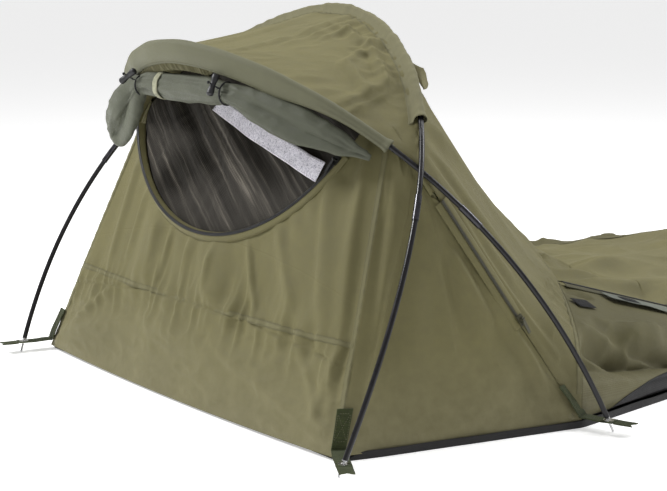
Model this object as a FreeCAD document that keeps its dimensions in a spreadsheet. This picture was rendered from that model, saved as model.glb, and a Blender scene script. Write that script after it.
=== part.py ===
import FreeCAD, Part
import math
import os

# One-person bivy sack pitched on two crossing hoop poles, in millimetres.
# +X is the sleeper's right as they look out of the door, -Y is the door end, +Y is the foot end,
# +Z is up. The origin is on the ground, midway between the four pole feet.

os.makedirs("parts", exist_ok=True)
doc = FreeCAD.newDocument("bivy_sack")
V = FreeCAD.Vector
UP = V(0, 0, 1)

# ---------------------------------------------------------------- driving dimensions
DIMENSIONS = {
    "front_feet_span": (1000, "between the feet of the main hoop"),
    "rear_feet_span": (1192, "between the feet of the brow hoop"),
    "feet_gap": (484, "front feet line to rear feet line"),
    "eyelet_height": (20, "pole foot and eyelet above the ground"),
    "main_rise": (768, "main hoop, measured in its own plane"),
    "main_lean": (30.88, "degrees from the vertical, towards the foot end"),
    "main_flare": (63, "outward pull of the leg's curve"),
    "main_shoulder": (569, "height of the leg's curve handle"),
    "main_crown": (173, "half length of the crown's curve handle"),
    "main_bow": (-31, "bow out of the hoop's plane"),
    "brow_rise": (750, "brow hoop, measured in its own plane"),
    "brow_lean": (36.40, "degrees from the vertical, towards the door end"),
    "brow_flare": (-96, "outward pull of the leg's curve"),
    "brow_shoulder": (587, "height of the leg's curve handle"),
    "brow_crown": (187, "half length of the crown's curve handle"),
    "brow_bow": (-42, "bow out of the hoop's plane"),
    "pole_radius": (4.5, "glass fibre pole"),
    "pole_bore_radius": (3.0, "for the shock cord"),
    "cord_radius": (1.25, "elastic shock cord"),
    "ferrule_radius": (5.7, "outside of a ferrule"),
    "ferrule_length": (44, "centred on a pole joint"),
    "pin_radius": (2.0, "steel end pin"),
    "eyelet_hole_radius": (4.3, "lets the leaning pin through"),
    "eyelet_neck_radius": (5.2, "between the two flanges"),
    "eyelet_flange_radius": (9.0, "outside of an eyelet"),
    "eyelet_thickness": (4.0, "over both flanges"),
    "web_width": (25, "corner webbing"),
    "web_thickness": (1.6, "corner webbing"),
    "fabric": (2.0, "thickness of a fabric panel's solid"),
    "tub_height": (16, "turned-up edge of the groundsheet"),
    "seam_height": (170, "cross seam of the door wall"),
    "window_radius": (360, "arc of the door zip"),
    "window_offset": (-30, "window centre from the middle"),
    "window_base": (288, "lowest point of the window above the ground"),
    "window_base_y": (-131, "lowest point of the window, along Y"),
    "window_lean": (23.3, "degrees from the vertical"),
    "window_reach": (60, "degrees of zip each side of the lowest point"),
    "brow_sleeve_radius": (15, "outside of the brow sleeve"),
    "main_sleeve_radius": (12, "outside of the main sleeve"),
    "sleeve_wall": (1.5, "fabric of a sleeve"),
    "coil_width": (6, "zip coil"),
    "coil_thickness": (2.2, "zip coil"),
    "slider_length": (15, "zip slider"),
    "slider_width": (10.5, "zip slider"),
    "slider_height": (4.6, "zip slider"),
    "pull_length": (24, "zip pull"),
    "pull_width": (6, "zip pull"),
    "toggle_length": (40, "barrel toggle"),
    "toggle_radius": (6.5, "barrel toggle"),
    "tie_width": (14, "tie strap round the rolled door"),
    "tail_length": (34, "webbing tail beyond the eyelet"),
    "tail_notch": (14, "circumradius of the swallow tail's notch"),
    "flap_width": (42, "storm flap over the sack zip"),
    "velcro_length": (46, "closing patch"),
    "velcro_width": (24, "closing patch"),
}
sheet = doc.addObject("Spreadsheet::Sheet", "dims")
for row, (alias, (value, note)) in enumerate(DIMENSIONS.items(), start=1):
    sheet.set(f"A{row}", alias)
    sheet.set(f"B{row}", str(value))
    sheet.set(f"C{row}", note)
    sheet.setAlias(f"B{row}", alias)
doc.recompute()


def dim(alias):
    """A driving dimension's number."""
    return float(sheet.get(alias))


HALF_GAP = dim("feet_gap") / 2
EYELET_Z = dim("eyelet_height")
FABRIC = dim("fabric")
TUB = dim("tub_height")
CLEAR = 0.5  # between neighbouring pieces

pieces = []


def name_piece(obj, label):
    """Registers an object as a sub-part under its node name."""
    obj.Label = label
    pieces.append(obj)
    return obj


def feature(label, shape, placement=None):
    """A sub-part whose shape is made by Part's functions."""
    obj = doc.addObject("Part::Feature", label)
    obj.Shape = shape
    if placement is not None:
        obj.Placement = placement
    return name_piece(obj, label)


def frame_placement(origin, x_axis, z_axis):
    """Placement with its local Z along z_axis and its local X near x_axis."""
    z = V(z_axis).normalize()
    x = V(x_axis) - z * V(x_axis).dot(z)
    x.normalize()
    y = z.cross(x)
    matrix = FreeCAD.Matrix(
        x.x, y.x, z.x, origin.x,
        x.y, y.y, z.y, origin.y,
        x.z, y.z, z.z, origin.z,
        0, 0, 0, 1,
    )
    return FreeCAD.Placement(matrix)


# ---------------------------------------------------------------- hoop poles
SECTIONS = 5  # pole sections in each hoop
ARCS_PER_SECTION = 3
TABLE_STEPS = 800


class Hoop:
    """A bent pole: a quarter curve from foot to crown, mirrored, leaning out of the vertical."""

    def __init__(self, prefix, span, foot_y, toward):
        self.half = dim(span) / 2
        self.rise = dim(prefix + "_rise")
        self.lean = math.radians(dim(prefix + "_lean"))
        self.flare = dim(prefix + "_flare")
        self.shoulder = dim(prefix + "_shoulder")
        self.crown = dim(prefix + "_crown")
        self.bow = dim(prefix + "_bow")
        self.foot_y = foot_y
        self.toward = toward
        self.measure()

    def point(self, share):
        """Point at share 0 (right foot) to 1 (crown) to 2 (left foot)."""
        side = 1 if share <= 1 else -1
        t = share if share <= 1 else 2 - share
        b0, b1, b2, b3 = (1 - t) ** 3, 3 * (1 - t) ** 2 * t, 3 * (1 - t) * t * t, t ** 3
        x = b0 * self.half + b1 * (self.half + self.flare) + b2 * self.crown
        up = b1 * self.shoulder + (b2 + b3) * self.rise
        bow = self.bow * 4 * (up / self.rise) * (1 - up / self.rise)
        back = up * math.sin(self.lean) + bow * math.cos(self.lean)
        height = up * math.cos(self.lean) - bow * math.sin(self.lean)
        return V(side * x, self.foot_y + self.toward * back, EYELET_Z + height)

    def measure(self):
        """Running length along the hoop, so that points can be found by length."""
        self.shares = [2 * i / TABLE_STEPS for i in range(TABLE_STEPS + 1)]
        points = [self.point(s) for s in self.shares]
        self.lengths = [0.0]
        for a, b in zip(points, points[1:]):
            self.lengths.append(self.lengths[-1] + a.distanceToPoint(b))
        self.length = self.lengths[-1]

    def at(self, run):
        """Point at a length from the right foot."""
        run = min(max(run, 0), self.length)
        i = max(k for k in range(TABLE_STEPS) if self.lengths[k] <= run)
        part = (run - self.lengths[i]) / (self.lengths[i + 1] - self.lengths[i])
        return self.point(self.shares[i] + part * (self.shares[i + 1] - self.shares[i]))

    def run_of(self, share):
        """Length from the right foot to a share."""
        return self.lengths[round(share / 2 * TABLE_STEPS)]

    def tangent(self, run):
        """Unit direction of the pole at a length from the right foot, towards the left foot."""
        step = 2.0
        return (self.at(run + step) - self.at(run - step)).normalize()


def tangent_arcs(points, tangent):
    """Arcs through the points, each tangent to the one before."""
    arcs = []
    for a, b in zip(points, points[1:]):
        chord = b - a
        along = V(chord).normalize()
        across = tangent - along * tangent.dot(along)
        half_turn = math.atan2(across.Length, tangent.dot(along))
        middle = a + chord * 0.5
        middle += V(across).normalize() * (chord.Length / 2 * math.tan(half_turn / 2))
        arcs.append(Part.Arc(a, middle, b).toShape())
        tangent = along * (2 * tangent.dot(along)) - tangent
    return arcs


def tube(edges, radius, bore=0.0):
    """A round bar or tube swept along tangent edges."""
    path = Part.Wire(edges)
    start = edges[0].valueAt(edges[0].FirstParameter)
    direction = edges[0].tangentAt(edges[0].FirstParameter)
    solids = []
    for r in filter(None, (radius, bore)):
        ring = Part.Wire([Part.Circle(start, direction, r).toShape()])
        solids.append(path.makePipeShell([ring], True, True))
    return solids[0].cut(solids[1]) if bore else solids[0]


main_hoop = Hoop("main", "front_feet_span", -HALF_GAP, 1)
brow_hoop = Hoop("brow", "rear_feet_span", HALF_GAP, -1)
POLE_START = 7.0  # the pole's cut end stands this far along from the eyelet's centre


def hoop_path(hoop, run_from, run_to, count):
    """Tangent arcs along a stretch of a hoop."""
    runs = [run_from + (run_to - run_from) * i / count for i in range(count + 1)]
    return tangent_arcs([hoop.at(r) for r in runs], hoop.tangent(run_from))


def build_poles(hoop, prefix):
    """Pole sections, with the joints at equal lengths. Returns the ferrules."""
    last = hoop.length - POLE_START
    arcs = hoop_path(hoop, POLE_START, last, SECTIONS * ARCS_PER_SECTION)
    for i in range(SECTIONS):
        edges = arcs[i * ARCS_PER_SECTION:(i + 1) * ARCS_PER_SECTION]
        solid = tube(edges, dim("pole_radius"), dim("pole_bore_radius"))
        feature(f"{prefix}_pole_section_{i + 1}", solid)
    ferrules = []
    section = (last - POLE_START) / SECTIONS
    for i in range(1, SECTIONS):
        joint = POLE_START + section * i
        half = dim("ferrule_length") / 2
        path = hoop_path(hoop, joint - half, joint + half, 2)
        ferrules.append(tube(path, dim("ferrule_radius"), dim("pole_radius") + 0.15))
    return ferrules


def shock_cord(hoop):
    """The elastic cord inside a pole, from end plug to end plug."""
    inset = POLE_START + 16
    return tube(hoop_path(hoop, inset, hoop.length - inset, 15), dim("cord_radius"))


feature("pole_ferrules", Part.makeCompound(
    build_poles(main_hoop, "main") + build_poles(brow_hoop, "brow")))
feature("pole_shock_cords", Part.makeCompound([shock_cord(main_hoop), shock_cord(brow_hoop)]))


def end_pin(hoop, at_left):
    """A steel pin: a plug inside the pole, a shoulder under it, and a shank down to the ground."""
    run = hoop.length if at_left else 0
    foot = hoop.at(run)
    up_the_pole = hoop.tangent(run) * (-1 if at_left else 1)
    r = dim("pin_radius")
    reach = (EYELET_Z - r) / up_the_pole.z
    tip = foot - up_the_pole * reach
    shank = Part.makeCylinder(r, reach + POLE_START - 2, tip, up_the_pole)
    ball = Part.makeSphere(r, tip)
    collar_at = foot + up_the_pole * (POLE_START - 2)
    collar = Part.makeCylinder(dim("pole_radius"), 2 - 0.1, collar_at, up_the_pole)
    plug = Part.makeCylinder(dim("pole_bore_radius") - 0.15, 15, collar_at, up_the_pole)
    return ball.fuse([shank, collar, plug]).removeSplitter()


for hoop, prefix in ((main_hoop, "main"), (brow_hoop, "brow")):
    feature(f"{prefix}_pole_pins", Part.makeCompound([end_pin(hoop, left) for left in (False, True)]))

# ---------------------------------------------------------------- fabric shell
# Floor corners, and the points that the fabric is pulled to. The pitch isn't quite symmetric.
FLOOR_CORNERS = {
    "front_left": V(-488, -184, TUB),
    "front_right": V(440, -204, TUB),
    "rear_left": V(-548, 228, TUB),
    "rear_right": V(548, 228, TUB),
}
INSIDE = V(0, 60, 200)  # a point inside the head section, to tell out from in
CROSSING_SHARE_MAIN = 0.3595
CROSSING_SHARE_BROW = 0.373
ARCH_Y = -22  # the door wall's top edge lies in this plane, under the canopy
ARCH_REACH = 0.85  # share of the arch that the door wall's top spans
EDGE_STEPS = 16  # spans in each panel edge


def crown_arc(hoop, crossing, u):
    """Point on a hoop between its two crossings, u from -1 (left) to 1 (right)."""
    share = crossing + (1 - crossing) * (1 - abs(u))
    point = hoop.point(share)
    point.x = math.copysign(point.x, u) if u else 0.0
    return point


def main_arc(u):
    return crown_arc(main_hoop, CROSSING_SHARE_MAIN, u)


def brow_arc(u):
    return crown_arc(brow_hoop, CROSSING_SHARE_BROW, u)


def mix(a, b, share):
    return a * (1 - share) + b * share


def arch(u):
    """The line across the canopy where the door wall meets it."""
    front, back = brow_arc(u), main_arc(u)
    share = (ARCH_Y - front.y) / (back.y - front.y) if back.y - front.y > 1 else 0.5
    return mix(front, back, share)


def line_edge(points):
    """A smooth edge through points."""
    curve = Part.BSplineCurve()
    curve.interpolate(points)
    return curve.toShape()


def skin_solid(stations):
    """A closed solid between an outer and an inner skin. stations are (outer points, inner points)."""
    faces = []
    outer = [line_edge(points) for points, _ in stations]
    inner = [line_edge(points) for _, points in stations]
    for skin in (outer, inner):
        faces += [Part.makeRuledSurface(a, b) for a, b in zip(skin, skin[1:])]
    for end in (0, -1):
        faces.append(Part.makeRuledSurface(outer[end], inner[end]))
        rim = [(points_out[end], points_in[end]) for points_out, points_in in stations]
        for (a, b), (c, d) in zip(rim, rim[1:]):
            faces.append(Part.makeRuledSurface(
                Part.LineSegment(a, c).toShape(), Part.LineSegment(b, d).toShape()))
    shell = Part.makeShell([face for shape in faces for face in shape.Faces])
    shell.sewShape()
    solid = Part.makeSolid(Part.Shell(shell.Faces))
    if solid.Volume < 0:
        solid.reverse()
    return solid


def panel(surface, u_range, v_stations, thickness=FABRIC, inside=INSIDE, steps=EDGE_STEPS):
    """A closed solid of one fabric panel. surface(u, v) is its outer face."""
    u_from, u_to = u_range
    stations = []
    for v in v_stations:
        outer, inner = [], []
        for i in range(steps + 1):
            u = u_from + (u_to - u_from) * i / steps
            du, dv = (u_to - u_from) * 0.01, 0.01
            here = surface(u, v)
            normal = (surface(u + du, v) - surface(u - du, v)).cross(
                surface(u, min(v + dv, 1)) - surface(u, max(v - dv, 0)))
            normal.normalize()
            if normal.dot(here - inside) < 0:
                normal = normal * -1
            outer.append(here)
            inner.append(here - normal * thickness)
        stations.append((outer, inner))
    return skin_solid(stations)


def door_wall(u, v):
    """The leaning wall with the door, from the floor (v 0) to the arch (v 1)."""
    left, right = FLOOR_CORNERS["front_left"], FLOOR_CORNERS["front_right"]
    foot = mix(left, right, (u + 1) / 2)
    bulge = 14 * (1 - u * u)  # the front edge swells outward a little
    foot.y -= bulge
    return mix(foot, arch(u * ARCH_REACH), v)


def door_wall_share(height):
    """The share v at which the wall reaches a height, on its middle line."""
    low, high = door_wall(0, 0).z, door_wall(0, 1).z
    return (height - low) / (high - low)


SEAM_V = door_wall_share(dim("seam_height"))
feature("door_wall_lower", panel(door_wall, (-0.985, 0.985), (0.012, SEAM_V - 0.002)))
upper_wall = panel(door_wall, (-0.985, 0.985), (SEAM_V + 0.002, 0.5, 0.75, 0.955))

window_up = V(0, math.sin(math.radians(dim("window_lean"))), math.cos(math.radians(dim("window_lean"))))
window_out = V(0, -window_up.z, window_up.y)
window_base = V(dim("window_offset"), dim("window_base_y"), dim("window_base"))
window_centre = window_base + window_up * dim("window_radius")


def window_prism(radius):
    """The round of the door zip, as a bar through the door wall."""
    depth = 240
    start = window_centre - window_out * (depth / 2)
    return Part.makeCylinder(radius, depth, start, window_out)


feature("door_wall_upper", upper_wall.cut(window_prism(dim("window_radius"))))
feature("mesh_door", upper_wall.common(window_prism(dim("window_radius") - CLEAR)))


def canopy(u, v):
    """The roof between the brow hoop (v 0) and the main hoop (v 1), sagging a little between them."""
    sag = 10 * 4 * v * (1 - v) * (1 - u * u)
    return mix(brow_arc(u), main_arc(u), v) - UP * sag


SEAM_RISE = 163  # the rear seam stands this far above the tub's edge
SEAM_REACH = 400  # and runs this far back at its middle
SEAM_ROUND = 0.15  # rounding of its apex, in half widths


def seam_point(across):
    """The seam between the rear slope and the sack, a rounded V in plan. across is -1 to 1."""
    corner = FLOOR_CORNERS["rear_right"]
    rise = (1 - min(abs(across), 1) ** 4) ** 0.25
    rounded = math.hypot(across, SEAM_ROUND) - SEAM_ROUND
    share = 1 - rounded / (math.hypot(1, SEAM_ROUND) - SEAM_ROUND)
    return V(corner.x * across, corner.y + SEAM_REACH * share, TUB + SEAM_RISE * rise)


def rear_seam(u):
    """The same seam, spaced evenly round its corners."""
    return seam_point(math.copysign(abs(math.sin(u * math.pi / 2)) ** 0.5, u))


def rear_slope(u, v):
    """From the main hoop (v 0) down to the sack (v 1)."""
    sag = 14 * 4 * v * (1 - v) * (1 - u ** 4)
    point = mix(main_arc(u), rear_seam(u), v)
    inward = (INSIDE - point).normalize()
    return point + inward * sag


def side_wall(side):
    """The triangle below the crossing, between the door wall's edge (u 0) and the rear seam (u 1)."""
    end = "right" if side > 0 else "left"
    front, rear = FLOOR_CORNERS["front_" + end], FLOOR_CORNERS["rear_" + end]
    top_front, top_rear = arch(side * ARCH_REACH), main_arc(side)

    def surface(u, v):
        return mix(mix(front, rear, u), mix(top_front, top_rear, u), v)

    return surface


SLEEVE_GAP = 4  # between a sleeve and the cloth beside it


def roof(u, v):
    """The canopy's panel, from just behind the brow sleeve (v 0) to just before the main sleeve (v 1)."""
    depth = main_arc(u).distanceToPoint(brow_arc(u))
    front = (dim("brow_sleeve_radius") + SLEEVE_GAP) / depth
    back = 1 - (dim("main_sleeve_radius") + SLEEVE_GAP) / depth
    return canopy(u, front + (back - front) * v)


feature("roof_canopy", panel(roof, (-0.80, 0.80), (0, 0.5, 1)))
feature("rear_slope_panel", panel(rear_slope, (-0.955, 0.955), (0.045, 0.35, 0.7, 0.985), steps=24))
for side, end in ((1, "right"), (-1, "left")):
    feature(f"side_wall_{end}", panel(side_wall(side), (0.03, 0.97), (0.012, 0.93), steps=6))


def sleeve(hoop, share, radius):
    """A fabric tube round a hoop, between two mouths at a share from each foot."""
    run = hoop.run_of(share)
    path = hoop_path(hoop, run, hoop.length - run, 9)
    return tube(path, radius, radius - dim("sleeve_wall"))


MAIN_MOUTH = 0.448
BROW_MOUTH = 0.426
feature("main_sleeve", sleeve(main_hoop, MAIN_MOUTH, dim("main_sleeve_radius")))
feature("brow_sleeve", sleeve(brow_hoop, BROW_MOUTH, dim("brow_sleeve_radius")))

# ---------------------------------------------------------------- sack
# Cross-sections towards the foot: y, half width, height above the tub, roundness, zip's share of the width
SACK_SECTIONS = (
    (708, 500, 110, 2.0, 0.66),
    (1800, 352, 98, 2.2, 0.66),
    (2050, 300, 74, 2.4, 0.66),
)
HEAD_ZIP_SHARE = 0.54


def section_point(y, half, height, roundness, across):
    rise = (1 - min(abs(across), 1) ** roundness) ** (1 / roundness)
    return V(half * across, y, TUB + height * rise)


def sack_line(station, share, from_zip):
    """Point of a sack cross-section. share runs over the top panel, or from the floor to the zip."""
    zip_share = HEAD_ZIP_SHARE if station == 0 else SACK_SECTIONS[station - 1][4]
    if from_zip:
        across = zip_share * share
    else:
        side = math.copysign(1, share)
        eased = math.sin(abs(share) * math.pi / 2)
        across = side * (zip_share + (1 - zip_share) * eased)
    if station == 0:
        return seam_point(across) + V(0, 4, 0)
    return section_point(*SACK_SECTIONS[station - 1][:4], across)


def sack_panel(share_range, from_zip, inside):
    """A sack panel lofted over all the cross-sections."""
    low, high = share_range
    stations = []
    for station in range(len(SACK_SECTIONS) + 1):
        outer, inner = [], []
        for i in range(EDGE_STEPS + 1):
            share = low + (high - low) * i / EDGE_STEPS
            step = (high - low) * 0.01
            here = sack_line(station, share, from_zip)
            ahead, behind = (sack_line(station, share + turn, from_zip) for turn in (step, -step))
            normal = (ahead - behind).cross(V(0, 1, 0)).normalize()
            if normal.dot(here - V(inside.x, here.y, inside.z)) < 0:
                normal = normal * -1
            outer.append(here)
            inner.append(here - normal * FABRIC)
        stations.append((outer, inner))
    return skin_solid(stations)


feature("sack_top_panel", sack_panel((-0.985, 0.985), True, V(0, 0, 0)))
feature("sack_side_right", sack_panel((0.03, 0.97), False, V(0, 0, 20)))
feature("sack_side_left", sack_panel((-0.97, -0.03), False, V(0, 0, 20)))


def foot_panel():
    """The D-shaped end of the sack."""
    y, half, height, roundness, _ = SACK_SECTIONS[-1]
    line = [section_point(y + CLEAR, half, height, roundness, math.sin(i * math.pi / 24))
            for i in range(-12, 13)]
    curve = Part.BSplineCurve()
    curve.interpolate(line)
    floor = Part.LineSegment(line[-1], line[0]).toShape()
    return Part.Face(Part.Wire([curve.toShape(), floor])).extrude(V(0, FABRIC, 0))


feature("foot_end_panel", foot_panel())


def groundsheet():
    """A shallow tub under the whole sack, with turned-up edges."""
    c = FLOOR_CORNERS
    outline = [c["front_left"], c["front_right"], c["rear_right"]]
    right = [V(half, y, 0) for y, half, *_ in SACK_SECTIONS]
    left = [V(-p.x, p.y, 0) for p in reversed(right)]
    outline += [V(right[0].x, right[0].y, 0), right[1], right[2], left[0], left[1], left[2], c["rear_left"]]
    flat = [V(p.x, p.y + (6 if p.y > 2000 else 0), 0) for p in outline]
    face = Part.Face(Part.makePolygon(flat + flat[:1]))
    grown = face.makeOffset2D(1.0, 2)
    hollow = face.makeOffset2D(-1.2, 2)
    top = TUB - CLEAR
    return grown.extrude(V(0, 0, top)).cut(hollow.translated(V(0, 0, 2)).extrude(V(0, 0, top)))


feature("groundsheet", groundsheet())

# ---------------------------------------------------------------- eyelets, corner webbing and tails
def part(kind, label, placement=None, **sizes):
    """A Part primitive with its sizes bound to the sheet."""
    obj = doc.addObject("Part::" + kind, label)
    for name, expression in sizes.items():
        obj.setExpression(name, expression)
    if placement is not None:
        obj.Placement = placement
    return obj


def fused(label, shapes):
    obj = doc.addObject("Part::MultiFuse", label)
    obj.Shapes = shapes
    return obj


def cut(label, base, tool):
    obj = doc.addObject("Part::Cut", label)
    obj.Base = base
    obj.Tool = tool
    return obj


def shifted(x, y, z):
    return FreeCAD.Placement(V(x, y, z), FreeCAD.Rotation())


def squared(direction, along):
    """A direction made square to another."""
    along = V(along).normalize()
    return (direction - along * direction.dot(along)).normalize()


FEET = {
    "front_right": main_hoop.point(0),
    "front_left": main_hoop.point(2),
    "rear_right": brow_hoop.point(0),
    "rear_left": brow_hoop.point(2),
}
CORNER_TOPS = {
    "front_right": arch(ARCH_REACH),
    "front_left": arch(-ARCH_REACH),
    "rear_right": main_arc(1),
    "rear_left": main_arc(-1),
}

FLANGE = "dims.eyelet_thickness / 2 - 1"
eyelet_solid = cut(
    "eyelet",
    fused("eyelet_outside", [
        part("Cylinder", "upper_flange", shifted(0, 0, 1), Radius="dims.eyelet_flange_radius",
             Height=FLANGE),
        part("Cylinder", "neck", shifted(0, 0, -1), Radius="dims.eyelet_neck_radius", Height="2"),
        part("Cylinder", "lower_flange", shifted(0, 0, -2), Radius="dims.eyelet_flange_radius",
             Height=FLANGE),
    ]),
    part("Cylinder", "eyelet_hole", shifted(0, 0, -5), Radius="dims.eyelet_hole_radius", Height="10"),
)
doc.recompute()
feature("eyelets", Part.makeCompound([eyelet_solid.Shape.translated(foot) for foot in FEET.values()]))

STRAP_START = 3  # the webbing leaves the floor corner this far out
STRAP_PAST = 12  # and runs this far past the eyelet
STRAP_RISE = 66  # its stitched end stands this tall on the corner
HINGE_GAP = 1.3
HALF_WEB = dim("web_width") / 2
HALF_THICK = dim("web_thickness") / 2


def corner_axes(corner):
    """Where the webbing starts, which way it runs, and how far the eyelet is."""
    start, foot = V(FLOOR_CORNERS[corner]), FEET[corner]
    start.z = foot.z
    return start, (foot - start).normalize(), start.distanceToPoint(foot)


def corner_strap(corner):
    """Webbing stitched up the corner and run out to the eyelet."""
    start, out, reach = corner_axes(corner)
    flat = part("Box", f"strap_flat_{corner}", None, Width="dims.web_width", Height="dims.web_thickness")
    flat.Length = reach + STRAP_PAST - STRAP_START
    flat.Placement = shifted(STRAP_START, -HALF_WEB, -HALF_THICK)
    rise = part("Box", f"strap_rise_{corner}", None, Width="dims.web_width", Height="dims.web_thickness")
    rise.Length = STRAP_RISE
    local = frame_placement(start, out, UP)
    seam = local.Rotation.inverted().multVec(CORNER_TOPS[corner] - FLOOR_CORNERS[corner]).normalize()
    stand = frame_placement(V(STRAP_START + 0.5, 0, 0), seam, squared(V(1, 0, 0), seam))
    stand.Base = stand.multVec(V(-HALF_THICK, -HALF_WEB, 0))
    rise.Placement = stand
    hole = part("Cylinder", f"strap_hole_{corner}", shifted(reach, 0, -5),
                Radius="dims.eyelet_neck_radius + 0.1", Height="10")
    strap = cut(f"corner_strap_{corner}", fused(f"strap_web_{corner}", [flat, rise]), hole)
    strap.Placement = local
    return name_piece(strap, f"corner_strap_{corner}")


def tail_hinge(corner):
    start, out, reach = corner_axes(corner)
    return start + out * (reach + STRAP_PAST + HINGE_GAP)


def tail(corner):
    """The loose end of the webbing, cut to a swallow tail."""
    web = part("Box", f"tail_web_{corner}", shifted(0, -HALF_WEB, -HALF_THICK), Length="dims.tail_length",
               Width="dims.web_width", Height="dims.web_thickness")
    notch = part("Prism", f"tail_notch_{corner}", None, Circumradius="dims.tail_notch", Height="6")
    notch.Polygon = 3
    notch.Placement = FreeCAD.Placement(V(dim("tail_length") + 5, 0, -3), FreeCAD.Rotation(UP, 180))
    piece = cut(f"tail_{corner}", web, notch)
    piece.Placement = frame_placement(tail_hinge(corner), corner_axes(corner)[1], UP)
    return name_piece(piece, f"tail_{corner}")


for corner in FEET:
    corner_strap(corner)
    tail(corner)


# ---------------------------------------------------------------- zips
BAR_HEIGHT = 3.6  # of the pull's bar above the slider
BAR_RADIUS = 1.0
POST_SIZE = (3.0, 1.4, 5.0)  # of each post that carries the bar
POST_SPREAD = 3.2  # from the zip's middle to the middle of a post
POST_OVERLAP = 0.1
CHANNEL_SIDE, CHANNEL_TOP, CHANNEL_PLAY = 0.7, 0.8, 0.4  # room round the coil inside the slider
PULL_DIP = 9.0  # degrees that a resting pull dips towards the zip
PULL_THICK = 1.6
EYE_RADIUS, EYE_HOLE, EYE_WIDTH = 2.6, 1.4, 3.6
NECK_LENGTH, NECK_WIDTH, NECK_REACH = 5.0, 3.4, 5.6
TAB_REACH = 4.6  # from the bar to the near end of the tab
DRILL = 8.0  # longer than any part that it cuts


def slider(label, place):
    """A zip slider that straddles its coil, with a bar on top for the pull. Local X runs along the zip."""
    body = part("Box", label + "_body", None, Length="dims.slider_length", Width="dims.slider_width",
                Height="dims.slider_height")
    body.Placement = shifted(-dim("slider_length") / 2, -dim("slider_width") / 2, 0)
    length, width, height = POST_SIZE
    post_z = dim("slider_height") - POST_OVERLAP
    posts = []
    for side, name in ((-1, "a"), (1, "b")):
        seat = shifted(-length / 2, POST_SPREAD * side - width / 2, post_z)
        posts.append(part("Box", f"{label}_post_{name}", seat, Length=str(length), Width=str(width),
                          Height=str(height)))
    bar = part("Cylinder", label + "_bar", None, Radius=str(BAR_RADIUS), Height=str(2 * POST_SPREAD))
    bar.Placement = FreeCAD.Placement(
        V(0, POST_SPREAD, dim("slider_height") + BAR_HEIGHT), FreeCAD.Rotation(V(1, 0, 0), 90))
    channel = part("Box", label + "_channel", None, Length="dims.slider_length + 2",
                   Width=f"dims.coil_width + {2 * CHANNEL_SIDE}",
                   Height=f"dims.coil_thickness + {CHANNEL_TOP + CHANNEL_PLAY}")
    channel.Placement = shifted(
        -dim("slider_length") / 2 - 1, -dim("coil_width") / 2 - CHANNEL_SIDE, -CHANNEL_PLAY)
    made = cut(label, fused(label + "_outside", [body, *posts, bar]), channel)
    made.Placement = place
    return name_piece(made, label)


def pull(label, place):
    """A zip pull whose eye turns on the slider's bar. It lies along local -X."""
    eye = part("Cylinder", label + "_eye", None, Radius=str(EYE_RADIUS), Height=str(EYE_WIDTH))
    eye.Placement = FreeCAD.Placement(V(0, EYE_WIDTH / 2, 0), FreeCAD.Rotation(V(1, 0, 0), 90))
    tab = part("Box", label + "_tab", None, Length="dims.pull_length", Width="dims.pull_width",
               Height=str(PULL_THICK))
    tab.Placement = shifted(-dim("pull_length") - TAB_REACH, -dim("pull_width") / 2, -PULL_THICK / 2)
    neck = part("Box", label + "_neck", shifted(-NECK_REACH, -NECK_WIDTH / 2, -PULL_THICK / 2),
                Length=str(NECK_LENGTH), Width=str(NECK_WIDTH), Height=str(PULL_THICK))
    hole = part("Cylinder", label + "_hole", None, Radius=str(EYE_HOLE), Height=str(DRILL))
    hole.Placement = FreeCAD.Placement(V(0, DRILL / 2, 0), FreeCAD.Rotation(V(1, 0, 0), 90))
    made = cut(label, fused(label + "_outside", [eye, tab, neck]), hole)
    on_bar = FreeCAD.Placement(V(0, 0, dim("slider_height") + BAR_HEIGHT),
                               FreeCAD.Rotation(V(0, 1, 0), -PULL_DIP))
    made.Placement = place.multiply(on_bar)
    return name_piece(made, label)


def straight_coil(start, end, out):
    """A zip coil along a straight line. out points away from the fabric."""
    length = start.distanceToPoint(end)
    coil = Part.makeBox(length, dim("coil_width"), dim("coil_thickness"), V(0, -dim("coil_width") / 2, 0))
    coil.Placement = frame_placement(start, end - start, squared(out, end - start))
    return coil


# Door zip: an arc in the leaning plane of the window
DOOR_COIL_LIFT = 6.0  # in front of the window's plane
DOOR_LIFT = window_out * DOOR_COIL_LIFT


def window_radial(degrees):
    """Direction from the window's centre, 0 straight down and positive to the right."""
    angle = math.radians(degrees)
    return V(1, 0, 0) * math.sin(angle) - window_up * math.cos(angle)


window_reach = dim("window_reach")
coil_rings = []
for name, offset in (("outer", "dims.coil_width / 2"), ("inner", "-dims.coil_width / 2")):
    coil_rings.append(part("Cylinder", "door_coil_" + name, None, Radius="dims.window_radius + " + offset,
                           Height="dims.coil_thickness", Angle="2 * dims.window_reach"))
door_coil = cut("door_zip_coil", *coil_rings)
door_coil.Placement = frame_placement(window_centre + DOOR_LIFT, window_radial(-window_reach), window_out)
name_piece(door_coil, "door_zip_coil")

SLIDER_PARK = 2.5  # degrees short of the zip's end
park = window_reach - SLIDER_PARK
door_seat = window_centre + window_radial(park) * dim("window_radius") + DOOR_LIFT
door_place = frame_placement(door_seat, window_radial(park + 90), window_out)
slider("door_zip_slider", door_place)
pull("door_zip_pull", door_place)


def outward(surface, u, v):
    """Unit normal of a surface, pointing away from the inside."""
    step = 0.01
    across, down = surface(u + step, v) - surface(u - step, v), surface(u, v + step) - surface(u, v - step)
    normal = across.cross(down)
    normal.normalize()
    return normal if normal.dot(surface(u, v) - INSIDE) > 0 else normal * -1


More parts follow.
